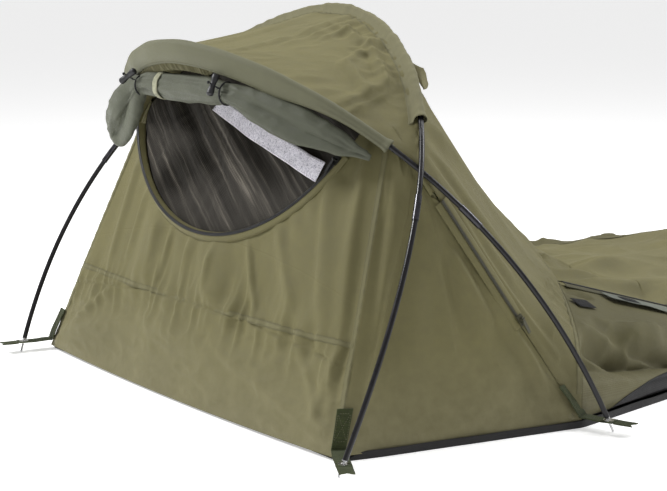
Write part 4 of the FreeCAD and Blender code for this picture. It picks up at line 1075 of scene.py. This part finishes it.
def rolled_flap():
    """The rolled cloth: layers that spiral along it, a hollow leaf on the left, a drooping one on the right."""
    count = len(roll_line)
    angle = round_angles(72)
    rows = []
    for i in range(count):
        s = i / (count - 1)
        grow = np.ones(len(angle))
        for k, (place, drift, width, depth) in enumerate(LAYERS):
            gap = turned(angle - (place + drift * (s - 0.45) + 0.16 * math.sin(s * 19 + k * 1.7)))
            step = bell(gap, width * np.where(gap > 0, 2.6, 0.5))
            grow -= depth * step * (0.75 + 0.25 * math.sin(s * 41 + k * 2.1))
        left = smooth((0.34 - s) / 0.10)
        right = smooth((s - 0.66) / 0.12) * smooth((1 - s) / 0.06)
        for amount, place, width in (
            (-0.60 * left * smooth((s - 0.03) / 0.06), 1.95 + 0.5 * math.sin(s * 14), 0.50),
            (0.12 * left, 0.95, 0.22),
            (-0.40 * right, 1.25 + 0.6 * math.sin(s * 9), 0.30),
            (0.16 * right, 2.1, 0.25),
        ):
            grow += amount * bell(turned(angle - place), width)
        pinch = 1 - sum(depth * bell(roll_line[i, 0] - x, 0.013) for x, depth in PINCHES)
        rows.append(ring_at(i, angle, grow * (1.05 + 0.24 * left) * pinch))
    rows = np.array(rows)
    ripple = creased(rows, 0.032, 17, (0.35, 1, 1)) * 0.0018
    rows = rows + unit(off_centre(rows)) * ripple[..., None]
    ends = [mix(end.mean(0), end, 0.05)[None] for end in (rows[0], rows[-1])]
    return np.concatenate([ends[0], rows, ends[1]])


roll_line = spline(ROLL, 300)
roll_rows = rolled_flap()
sweep("rolled_flap_cloth", roll_rows, lining, off_centre(roll_rows),
      ["rolled_door_flap"], closed=True)


def roll_index(x):
    return int(np.abs(roll_line[:, 0] - x).argmin())


def tie_band():
    """A flat tape round the roll."""
    angle = round_angles(60)
    sag = 1 + 0.020 * np.sin(angle * 3 + 1) + 0.012 * np.sin(angle * 7)
    rows = []
    for x in np.linspace(-0.082, -0.068, 5):
        points = ring_at(roll_index(x), angle, 1.10 * sag)
        points[:, 0] += x - points[:, 0].mean()
        rows.append(points)
    return np.array(rows)


tie_rows = tie_band()
sweep("tie_band_tape", tie_rows, tie_tape, off_centre(tie_rows), ["flap_strap"],
      closed=True, thick=0.0012)

# ---- toggles and their cords
TOGGLES = {  # seat on the roll, tilt in degrees
    "toggle_right": (np.array((0.118, -0.177, 0.547)), 8),
    "toggle_left": (np.array((-0.146, -0.176, 0.546)), -50),
}
LOOP_OUT, LOOP_UP = np.array((0.0, -0.875, 0.484)), np.array((0.0, 0.484, 0.875))
TOGGLE_OUT, TOGGLE_HALF, TOGGLE_ROUND = 0.034, 0.020, 0.0065
LOOP_SHARE, LOOP_CORD, LEG_CORD, KNOT_CORD = 0.93, 0.0014, 0.0009, 0.0012  # the loop's share of the roll; radii
LEG_SEAT, KNOT_GAP, KNOT_SIZE = 0.0195, 0.0031, 0.0011
# place along the barrel's half and share of its radius, from its end to its waist
TOGGLE_PROFILE = [(1.0, 0.05), (0.985, 0.45), (0.94, 0.72), (0.86, 0.92), (0.78, 0.98), (0.72, 0.90), (0.66, 0.97),
                  (0.50, 0.93), (0.30, 0.80), (0.12, 0.72)]


def toggle_mesh(label):
    """A barrel toggle turned on a lathe, with a waist where its cord goes through and moulded rings."""
    seat, tilt = TOGGLES[label][0] + LOOP_OUT * TOGGLE_OUT, math.radians(TOGGLES[label][1])
    axis = LOOP_UP * math.cos(tilt) + np.cross(LOOP_OUT, LOOP_UP) * math.sin(tilt)
    across = np.cross(axis, LOOP_OUT)
    circle = circling(LOOP_OUT, across, round_angles(28))
    profile = [(-a, r) for a, r in TOGGLE_PROFILE] + TOGGLE_PROFILE[::-1]
    rows = np.array([seat + axis * (TOGGLE_HALF * a) + TOGGLE_ROUND * r * circle for a, r in profile])
    obj = sweep(label + "_barrel", rows, toggle_black, rows - seat, [label], label, closed=True)
    rounded = obj.modifiers.new("smooth_lathe", "SUBSURF")
    rounded.levels = rounded.render_levels = 1


CORD_LAY = 0.007  # length of cord in one turn of its strands


def braided(points, radius):
    """A braided cord's surface: a tube whose strands wind both ways."""
    _, up, across = axes_along(points, np.broadcast_to((0, -0.8, 0.6), points.shape))
    angle = round_angles(18)
    wind = run_along(points)[:, None] * 2 * math.pi / CORD_LAY
    weave = np.sin(3 * angle + wind) * np.sin(3 * angle - wind)
    circle = circling(up[:, None], across[:, None], angle)
    return grid_group(points[:, None] + circle * (radius * (1 + 0.16 * weave))[..., None], closed=True)


def toggle_cord(seat):
    """A loop round the roll, two legs through the toggle, and a knot in front of it."""
    i, angle = roll_index(seat[0]), np.linspace(-1.2, 2 * math.pi - 1.2, 90)
    loop = ring_at(i, angle, LOOP_SHARE)
    loop = loop + unit(loop - roll_line[i, :3]) * 0.0012
    loop[:, 0] = seat[0] + 0.0015 * np.sin(angle)
    groups = [braided(loop, LOOP_CORD)]
    knot_seat = seat + LOOP_OUT * (TOGGLE_OUT + TOGGLE_ROUND + KNOT_GAP)
    leg = np.linspace(0, 1, 24)[:, None]
    for x in (-0.0008, 0.0008):
        start = seat + LOOP_OUT * LEG_SEAT + RIGHT * x * 4
        middle = seat + LOOP_OUT * (TOGGLE_OUT - TOGGLE_ROUND) + RIGHT * x
        end = knot_seat + RIGHT * x
        legs = np.where(leg < 0.5, start + (middle - start) * leg * 2, middle + (end - middle) * (leg * 2 - 1))
        groups.append(braided(legs, LEG_CORD))
    t = np.linspace(0, 2 * math.pi, 60)[:, None]
    across, up = RIGHT * 0.55, LOOP_UP * 0.55
    tied = knot_seat + KNOT_SIZE * ((np.sin(t) + 2 * np.sin(2 * t)) * across + (np.cos(t) - 2 * np.cos(2 * t)) * up
                                 - np.sin(3 * t) * LOOP_OUT * 0.8)
    return groups + [braided(tied, KNOT_CORD)]


for label in TOGGLES:
    toggle_mesh(label)
joined("toggle_cords", [group for seat, _ in TOGGLES.values() for group in toggle_cord(seat)], cord_black,
       nodes=["toggle_loops"])

# ---- blank label
LABEL_CORNERS = np.array(((-0.088, 0.499), (0.236, 0.405), (-0.066, 0.519), (0.247, 0.438)))  # x, z
FORWARD = np.array((0, -1.0, 0))


def on_wall(x, z):
    """The door wall's point at a given x and height."""
    u, v = x / 0.4, (z - TUB) / 0.6
    for _ in range(30):
        here = door_wall(u, v)
        u, v = u + (x - here[..., 0]) / 0.45, v + (z - here[..., 2]) / 0.6
    return here


def label_ribbon():
    s, t = np.meshgrid(np.linspace(0, 1, 90), np.linspace(0, 1, 12))
    low, top = (mix(*LABEL_CORNERS[k:k + 2], s) for k in (0, 2))
    spot = mix(low, top, t)
    points = on_wall(spot[..., 0], spot[..., 1])
    wave = crumple(points, 0.09, 23, (1, 1, 0.4)) * 0.0012 + 0.0008 * np.sin(s * 44) * t
    points[..., 1] -= 0.0034 + np.maximum(wave, -0.0012)
    return points


label_rows = label_ribbon()
sweep("blank_label_cloth", label_rows, label_cloth, FORWARD, ["blank_label"], thick=0.0008)
for t in (0.07, 0.93):
    stitch_row(mix(label_rows[0], label_rows[-1], t) + FORWARD * 0.0004, FORWARD, 0.005)

# ---- vent hood
HOOD_BASE = ((0.38, 0.075), (0.65, 0.075), (0.53, 0.22))  # u, v on the rear slope
HOOD_TIP = (0.52, 0.09)
HOOD_SEAT, HOOD_RISE = 0.009, 0.0245


def hood():
    """A small cloth hood, open towards the foot, on the rear slope."""
    tip, out = lifted(rear_slope, *HOOD_TIP)
    tip = tip + out * HOOD_RISE
    left, right, back = (lifted(rear_slope, u, v, lift=HOOD_SEAT)[0] for u, v in HOOD_BASE)
    rows = []
    for s in np.linspace(0, 1, 40):
        foot = mix(left, right, s)
        lip = mix(left, back, s * 2) if s < 0.5 else mix(back, right, s * 2 - 1)
        rise = math.sin(math.pi * s) ** 0.8 * (1 - abs(s - 0.5) * 0.6)
        crest, edge = mix(foot, tip, rise), mix(lip, tip, rise * 0.72)
        rows.append([foot, mix(foot, crest, 0.55) + out * 0.001, crest, mix(crest, edge, 0.5) + out * 0.0015, edge,
                     mix(edge, lip, 0.12)])
    rows = np.array(rows)
    return rows + out * (crumple(rows, 0.03, 33) * 0.0005)[..., None], out


hood_rows, hood_out = hood()
sweep("vent_hood_cloth", hood_rows, olive, hood_out, ["vent_hood"], thick=SLEEVE_THICK)

# ---- seams
def wall_seam_v(u):
    """The cross seam is level: the same height at the sides as in the middle."""
    low, high = door_wall(u, np.zeros_like(u))[..., 2], door_wall(u, np.ones_like(u))[..., 2]
    return (SEAM_HEIGHT - low) / (high - low)


spans, tall = np.linspace(-0.985, 0.985, 230), np.linspace(0.0, 0.97, 120)
seam_strip(*lifted(door_wall, spans, wall_seam_v(spans), relief=wall_relief), 0.011, 0.0011, 0.0005)
for side in (1, -1):
    seam_strip(*lifted(door_wall, 0.985 * side, tall, relief=wall_relief), 0.011, pucker=0.0003)
for side in (1, -1):
    seam_strip(*lifted(side_wall(side), 0.965, tall * 0.97), pucker=0.0003)
seam_strip(*lifted(rear_slope, np.linspace(-0.97, 0.97, 260), 0.985), pucker=0.0004)
tall = np.linspace(0.02, 0.995, 260)
for side in (1, -1):
    seam_strip(*lifted(sack_top, 0.975 * side, tall, sack_heart(tall), top_relief), pucker=0.0004)
seam_strip(*lifted(foot_end, np.linspace(-0.99, 0.99, 120), 0.06, FOOT_HEART), 0.009, 0.0009)
joined("felled_seams", seam_groups, seam_olive)

# ---- zips
TOOTH_FACES = [(0, 1, 2, 3), (4, 7, 6, 5), (0, 4, 5, 1), (1, 5, 6, 2), (2, 6, 7, 3), (3, 7, 4, 0)]
TOOTH_PITCH, TOOTH_HIGH, COIL_HALF = 0.0016, 0.0021, 0.0030
COIL_CORE = ((-0.0028, 0.0002), (-0.0022, 0.0012), (0.0022, 0.0012), (0.0028, 0.0002))
TAPE_THICK, TAPE_REACH = 0.0007, 0.015
DOOR_TAPE_OUTER, DOOR_TAPE_INNER, DOOR_ZIP_LIFT = 0.013, 0.0065, 0.006


def teeth(points, out):
    """Coil teeth in two rows that mesh along a line at the coil's base."""
    groups = []
    for i, (p, n, t, a) in enumerate(zip(*frames_along(points, out, TOOTH_PITCH))):
        side = 1 if i % 2 else -1
        corners = []
        for reach, low, high, half in ((-0.0007 * side, 0.0005, TOOTH_HIGH, 0.00040),
                                       (COIL_HALF * side, 0.0002, TOOTH_HIGH - 0.0005, 0.00062)):
            for along, height in ((-half, low), (half, low), (half, high), (-half, high)):
                corners.append(p + a * reach + t * along + n * height)
        groups.append((np.array(corners), TOOTH_FACES))
    return groups


def coil_piece(name, runs, node, mat):
    """Teeth and the core between them along each (points, normals) run."""
    groups = []
    for points, normals in runs:
        groups += teeth(points, normals)
        core, out, _, across = frames_along(points, normals, 0.004)
        groups.append(grid_group(np.stack([core + across * a + out * b for a, b in COIL_CORE], 1), closed=True))
    joined(name, groups, mat, nodes=[node])


def zip_tape_rows(coil, out, left, right):
    """Tape on both sides of a coil, running down to given lines on the cloth."""
    across = np.cross(tangents(coil), out)
    rows = []
    for end, sign in ((left, -1), (right, 1)):
        edge = coil + across * (sign * 0.0026) + out * 0.0002
        rows.append(np.stack([mix(end, edge, share) + out * (0.0008 * math.sin(share * 3.1))
                              for share in np.linspace(0, 1, 6)], 1))
    return rows


def to_wall(points, lift):
    """Where points seen square to the window's plane meet the door wall, lifted off it."""
    hits = on_wall(points[:, 0], points[:, 2])
    for _ in range(12):
        spare = (hits - points) - ((hits - points) @ WINDOW_OUT)[:, None] * WINDOW_OUT
        hits = on_wall(hits[:, 0] - spare[:, 0], hits[:, 2] - spare[:, 2])
    return hits + WINDOW_OUT * lift


turns = np.radians(np.linspace(-60, 60, 260))[:, None]
radial = np.sin(turns) * RIGHT - np.cos(turns) * WINDOW_UP
door_line = WINDOW_CENTRE + WINDOW_OUT * DOOR_ZIP_LIFT + radial * WINDOW_RADIUS
door_normals = np.broadcast_to(WINDOW_OUT, door_line.shape)
coil_piece("door_zip_teeth", [(door_line, door_normals)], "door_zip_coil", coil_black)
outer_edge = to_wall(WINDOW_CENTRE + radial * (WINDOW_RADIUS + DOOR_TAPE_OUTER), 0.0012)
inner_edge = to_wall(WINDOW_CENTRE + radial * (WINDOW_RADIUS - DOOR_TAPE_INNER), 0.0008)
inner_tape, outer_tape = zip_tape_rows(door_line, door_normals, inner_edge, outer_edge)
for end, rows in (("outer", outer_tape), ("inner", inner_tape)):
    sweep(f"door_zip_tape_{end}", rows, olive, WINDOW_OUT, thick=TAPE_THICK)
stitch_row(outer_tape[:, 1] + WINDOW_OUT * 0.0004, WINDOW_OUT)


def straight_zip(name, runs, tape, coil):
    """Coil teeth and tapes along straight runs, each (start, end, out)."""
    lines = []
    for k, (start, end, out) in enumerate(runs):
        line = mix(start, end, np.linspace(0, 1, 120))
        normals = np.broadcast_to(out, line.shape)
        lines.append((line, normals))
        aside, sunk = np.cross(unit(end - start), out) * TAPE_REACH, out * 0.0030
        for rows, label in zip(zip_tape_rows(line, normals, line - aside - sunk, line + aside - sunk), "ab"):
            sweep(f"{name}_tape_{k + 1}{label}", rows, tape, out, thick=TAPE_THICK)
    coil_piece(name + "_teeth", lines, name + "_coil", coil)


COIL_SEAT, SIDE_ZIP_SHARES = 0.003, (0.13, 0.62)  # shares of the seam from the crossing to the floor
crossing_top = tucked(MAIN, 1.0, MAIN_TUCK)
side_top, side_low = (mix(crossing_top, FLOOR["rear_right"], s) for s in SIDE_ZIP_SHARES)
side_out = squared(outward(side_wall(1), 0.9, 0.5, INSIDE) + outward(rear_slope, 0.97, 0.3, INSIDE),
                   side_top - side_low)
straight_zip("side_zip", [(side_top + side_out * COIL_SEAT, side_low + side_out * COIL_SEAT, side_out)], olive,
             coil_olive)

zip_head = seam_point(HEAD_ZIP_SHARE) + np.array((0, 0.008, 0))
zip_turn, zip_far = (section_point(section, SACK_ZIP_SHARE) for section in SACK_SECTIONS[:2])
zip_foot = mix(zip_turn, zip_far, 0.92)
section_across = np.subtract(*(section_point(SACK_SECTIONS[0], SACK_ZIP_SHARE * share) for share in (1.02, 0.9)))
sack_up = np.cross(section_across, (0, 1.0, 0))
sack_up = sack_up * np.sign(sack_up[2])
head_out, foot_out = squared(sack_up, zip_turn - zip_head), squared(sack_up, zip_foot - zip_turn)
straight_zip("sack_zip", [
    (zip_head + head_out * COIL_SEAT, mix(zip_head, zip_turn, 0.98) + head_out * COIL_SEAT, head_out),
    (mix(zip_turn, zip_foot, 0.004) + foot_out * COIL_SEAT, zip_foot + foot_out * COIL_SEAT, foot_out),
], zip_tape, coil_black)

# ---- storm flaps
FLAP_WIDTH, FLAP_DROP, FLAP_LIFT = 0.042, 0.015, 0.0035
TAB_LONG, TAB_WIDE = 0.046, 0.024


def flap_cloth(name, start, end, out, tabs):
    """A hemmed strip with hook and loop tabs at given places along it, on its own hinge."""
    along = unit(end - start)
    down = np.cross(along, out)
    down = down * (-1 if down[2] > 0 else 1)
    hinge = start + down * FLAP_DROP + out * FLAP_LIFT
    length = np.linalg.norm(end - start)
    s, t = np.meshgrid(np.linspace(0, length, int(length / 0.005)), np.linspace(0, 1, 16))
    wave = (np.sin(s * 31) + 0.6 * np.sin(s * 73 + 1)) * 0.0011 * t ** 2
    rise = 0.0009 + wave + np.abs(wave.min()) * t ** 2 + 0.0005 * ((t > 0.82) | (t < 0.10))
    points = hinge + along * s[..., None] + down * (t * FLAP_WIDTH)[..., None] + out * rise[..., None]
    sweep(name + "_cloth", points, flap_grey, out, [name], name, thick=0.0010)
    a, b = np.meshgrid(np.linspace(-0.5, 0.5, 12), np.linspace(-0.5, 0.5, 8))
    dome = 0.0016 + 0.0018 * (1 - (np.abs(a) * 2) ** 8) * (1 - (np.abs(b) * 2) ** 8)
    tab = along * (a * TAB_LONG)[..., None] + down * (b * TAB_WIDE)[..., None] + out * dome[..., None]
    middle = hinge + down * (FLAP_WIDTH * 0.46)
    joined(name + "_tabs", [grid_group(middle + along * place + tab) for place in tabs], velcro, name)


flap_cloth("storm_flap_front", *(mix(zip_head, zip_turn, s) for s in (0.30, 0.93)), head_out, [0.060])
flap_cloth("storm_flap_rear", mix(zip_turn, zip_foot, 0.01), zip_foot, foot_out, [0.12, 0.42, 0.72])


PATCH_SIDE = np.array((1.0, 0, 0.4))  # roughly the way the patches face
PATCH_WIDER, PATCH_PROUD = 1.3, 0.0012


def patch(points):
    """A hook and loop patch over a box-shaped set of points, a little wider and prouder than they are."""
    centre = points.mean(0)
    axes = np.linalg.svd(points - centre)[2]
    half = np.abs((points - centre) @ axes.T).max(0)
    thin = axes[2] * np.sign(axes[2] @ PATCH_SIDE)
    a, b = np.meshgrid(np.linspace(-1, 1, 26), np.linspace(-1, 1, 16))
    dome = (1 - np.abs(a) ** 10) * (1 - np.abs(b) ** 10)
    fuzz = crumple(np.stack([a * 20, b * 20, a * 0], -1), 3.1, 5) * 0.0001
    return grid_group(centre + axes[0] * (a * half[0])[..., None] + axes[1] * (b * half[1] * PATCH_WIDER)[..., None]
                      + thin * (PATCH_PROUD - half[2] + 2 * half[2] * dome + fuzz)[..., None])


patch_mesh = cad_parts["wall_patches"].data
patch_points = np.array([corner.co for corner in patch_mesh.vertices], float)
split = (patch_points[:, 1].min() + patch_points[:, 1].max()) / 2
headward = patch_points[:, 1] < split
joined("wall_patch_tape", [patch(patch_points[headward]), patch(patch_points[~headward])], velcro,
       nodes=["wall_patches"])

# ---- corner webbing and tails
STRAP_START, STRAP_PAST, STRAP_RISE, HINGE_GAP = 0.003, 0.012, 0.066, 0.0013
HALF_WEB, WEB_THICK, TAIL, HOLE = 0.0125, 0.0016, 0.034, 0.0062
# the hoops cross: the main hoop's feet are at the door end, and the brow hoop's behind
FEET = {"front_right": MAIN.point(0), "front_left": MAIN.point(2), "rear_right": BROW.point(0),
        "rear_left": BROW.point(2)}
CORNER_TOPS = {"front_right": arch(ARCH_REACH), "front_left": arch(-ARCH_REACH),
               "rear_right": tucked(MAIN, 1.0, MAIN_TUCK), "rear_left": tucked(MAIN, -1.0, MAIN_TUCK)}


def web_grid(line, across, seed):
    """A woven ribbon along a line, a little uneven in width."""
    share = np.linspace(-1, 1, 13)
    rng = np.random.default_rng(seed)
    uneven = 0.0004 * np.interp(np.linspace(0, 1, len(line)), np.linspace(0, 1, 9), rng.normal(size=9))
    reach = share[None] * HALF_WEB + uneven[:, None] * np.sign(share)
    return line[:, None] + across * reach[..., None]


def web_piece(name, grid, body, node, keep=None):
    sweep(name, grid, webbing, UP, [node], body, thick=WEB_THICK, keep=keep, centred=True)


def corner_web(corner, foot):
    """Webbing up the corner seam and out round the eyelet, its stitching, and its tail on a hinge."""
    base = np.array((*FLOOR[corner][:2], foot[2]))
    way, reach = unit(foot - base), np.linalg.norm(foot - base)
    across, seam_way = unit(np.cross(UP, way)), unit(CORNER_TOPS[corner] - FLOOR[corner])
    stand, start = squared(way, seam_way), base + way * (STRAP_START + 0.0005)
    line = [start + seam_way * h + stand * (0.0006 + 0.0010 * math.sin(h * 70))
            for h in np.linspace(STRAP_RISE, 0.004, 26)]
    line += [start + way * (0.0030 * (1 - math.cos(a))) + seam_way * (0.004 * (1 - math.sin(a)))
             for a in np.linspace(0.2, math.pi / 2, 6)]
    line += [base + way * d + UP * (0.0004 * math.sin(d * 120)) for d in np.linspace(
        STRAP_START + 0.006, reach + STRAP_PAST, int((reach + STRAP_PAST) / 0.0016))]
    grid = web_grid(np.array(line), across, 3 + len(corner))
    gap = grid - foot  # the ribbon opens round the eyelet
    near = (np.linalg.norm(gap[..., :2], axis=-1) < HOLE) & (np.abs(gap[..., 2]) < 0.01)
    grid = np.where(near[..., None], foot + unit(gap + 1e-9) * HOLE, grid)
    web_piece(f"corner_web_{corner}", grid, SHELL, f"corner_strap_{corner}",
              lambda centres: np.linalg.norm((centres - foot)[:, :2], axis=1) > HOLE * 0.80)
    middle = start + stand * 0.0022 + seam_way * 0.036
    box = [middle + across * (a * 0.010) + seam_way * (b * 0.022) for a, b in ((-1, -1), (1, -1), (1, 1), (-1, 1))]
    for p, q in ((0, 1), (1, 2), (2, 3), (3, 0), (0, 2), (1, 3)):
        stitch_row(mix(box[p], box[q], np.linspace(0, 1, 8)), stand, 0.0036)
    hinge = base + way * (reach + STRAP_PAST + HINGE_GAP)
    s, t = np.meshgrid(np.linspace(0, 1, 22), np.linspace(-1, 1, 13), indexing="ij")
    length = TAIL - 0.009 * (1 - np.abs(t))  # the end is cut as a swallow tail
    fray = 0.0007 * np.sin(t * 31) * smooth((s - 0.85) / 0.15)
    tail = hinge + way * (s * length + fray)[..., None] + across * (t * HALF_WEB * (1 - 0.02 * s))[..., None]
    web_piece(f"tail_web_{corner}", tail + UP * (0.0006 * np.sin(s * 5) * np.cos(t * 2))[..., None],
              f"tail_{corner}", f"tail_{corner}")


for corner, foot in FEET.items():
    corner_web(corner, foot)
joined("stitching", stitch_groups, thread)


# ---- CAD nodes that stay
for node, mat in {
    "pole_ferrules": ferrule_dark, "pole_shock_cords": cord_black, "main_pole_pins": steel, "brow_pole_pins": steel,
    "eyelets": silver, "door_zip_slider": slider_dark, "side_zip_slider": slider_olive,
    "sack_zip_slider": slider_dark, "door_zip_pull": slider_dark, "side_zip_pull": slider_olive,
    "sack_zip_pull": slider_dark,
    **{f"{hoop}_pole_section_{i}": pole_gloss for hoop in ("main", "brow") for i in range(1, 6)},
}.items():
    paint(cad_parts[node], mat)

# ---- camera, floor and light
def aimed(way):
    return Vector(way).to_track_quat("-Z", "Y").to_euler()


scene = bpy.context.scene
scene.view_settings.view_transform = "Standard"
camera_data = bpy.data.cameras.new("photo_camera")
camera_data.lens, camera_data.sensor_width = 86.27, 36.0
camera = placed("photo_camera", camera_data)
camera.location = (2.2816, -1.6997, 0.7722)
camera.rotation_euler = aimed((-0.7655, 0.6181, -0.1787))
scene.camera = camera

FLOOR_REACH = 90.0
floor_mesh = bpy.data.meshes.new("floor")
floor_mesh.from_pydata([(FLOOR_REACH * a, FLOOR_REACH * b, 0) for a, b in ((-1, -1), (1, -1), (1, 1), (-1, 1))],
                       [], [(0, 1, 2, 3)])
floor = placed("floor", floor_mesh)
floor_mesh.materials.append(material("pale_floor", 0.9, (0.95, 0.95, 0.95), Emission_Color=(1, 1, 1, 1),
                                     Emission_Strength=0.42)[0])

world = bpy.data.worlds.new("studio")
world.use_nodes = True
background = world.node_tree.nodes["Background"].inputs
background["Color"].default_value, background["Strength"].default_value = (1, 1, 1, 1), 0.45
scene.world = world


def soft_light(name, place, aim, power, size):
    data = bpy.data.lights.new(name, "AREA")
    data.energy, data.shape, data.size = power, "DISK", size
    lamp = placed(name, data)
    lamp.location, lamp.rotation_euler = place, aimed(Vector(aim) - Vector(place))


soft_light("key", (-1.6, -1.9, 2.7), (0, 0.1, 0.3), 99, 0.9)
soft_light("side", (1.4, 3.0, 2.6), (0, 0.6, 0.2), 52, 1.2)
soft_light("top", (0.2, 0.9, 3.2), (0, 0.6, 0.1), 36, 1.6)
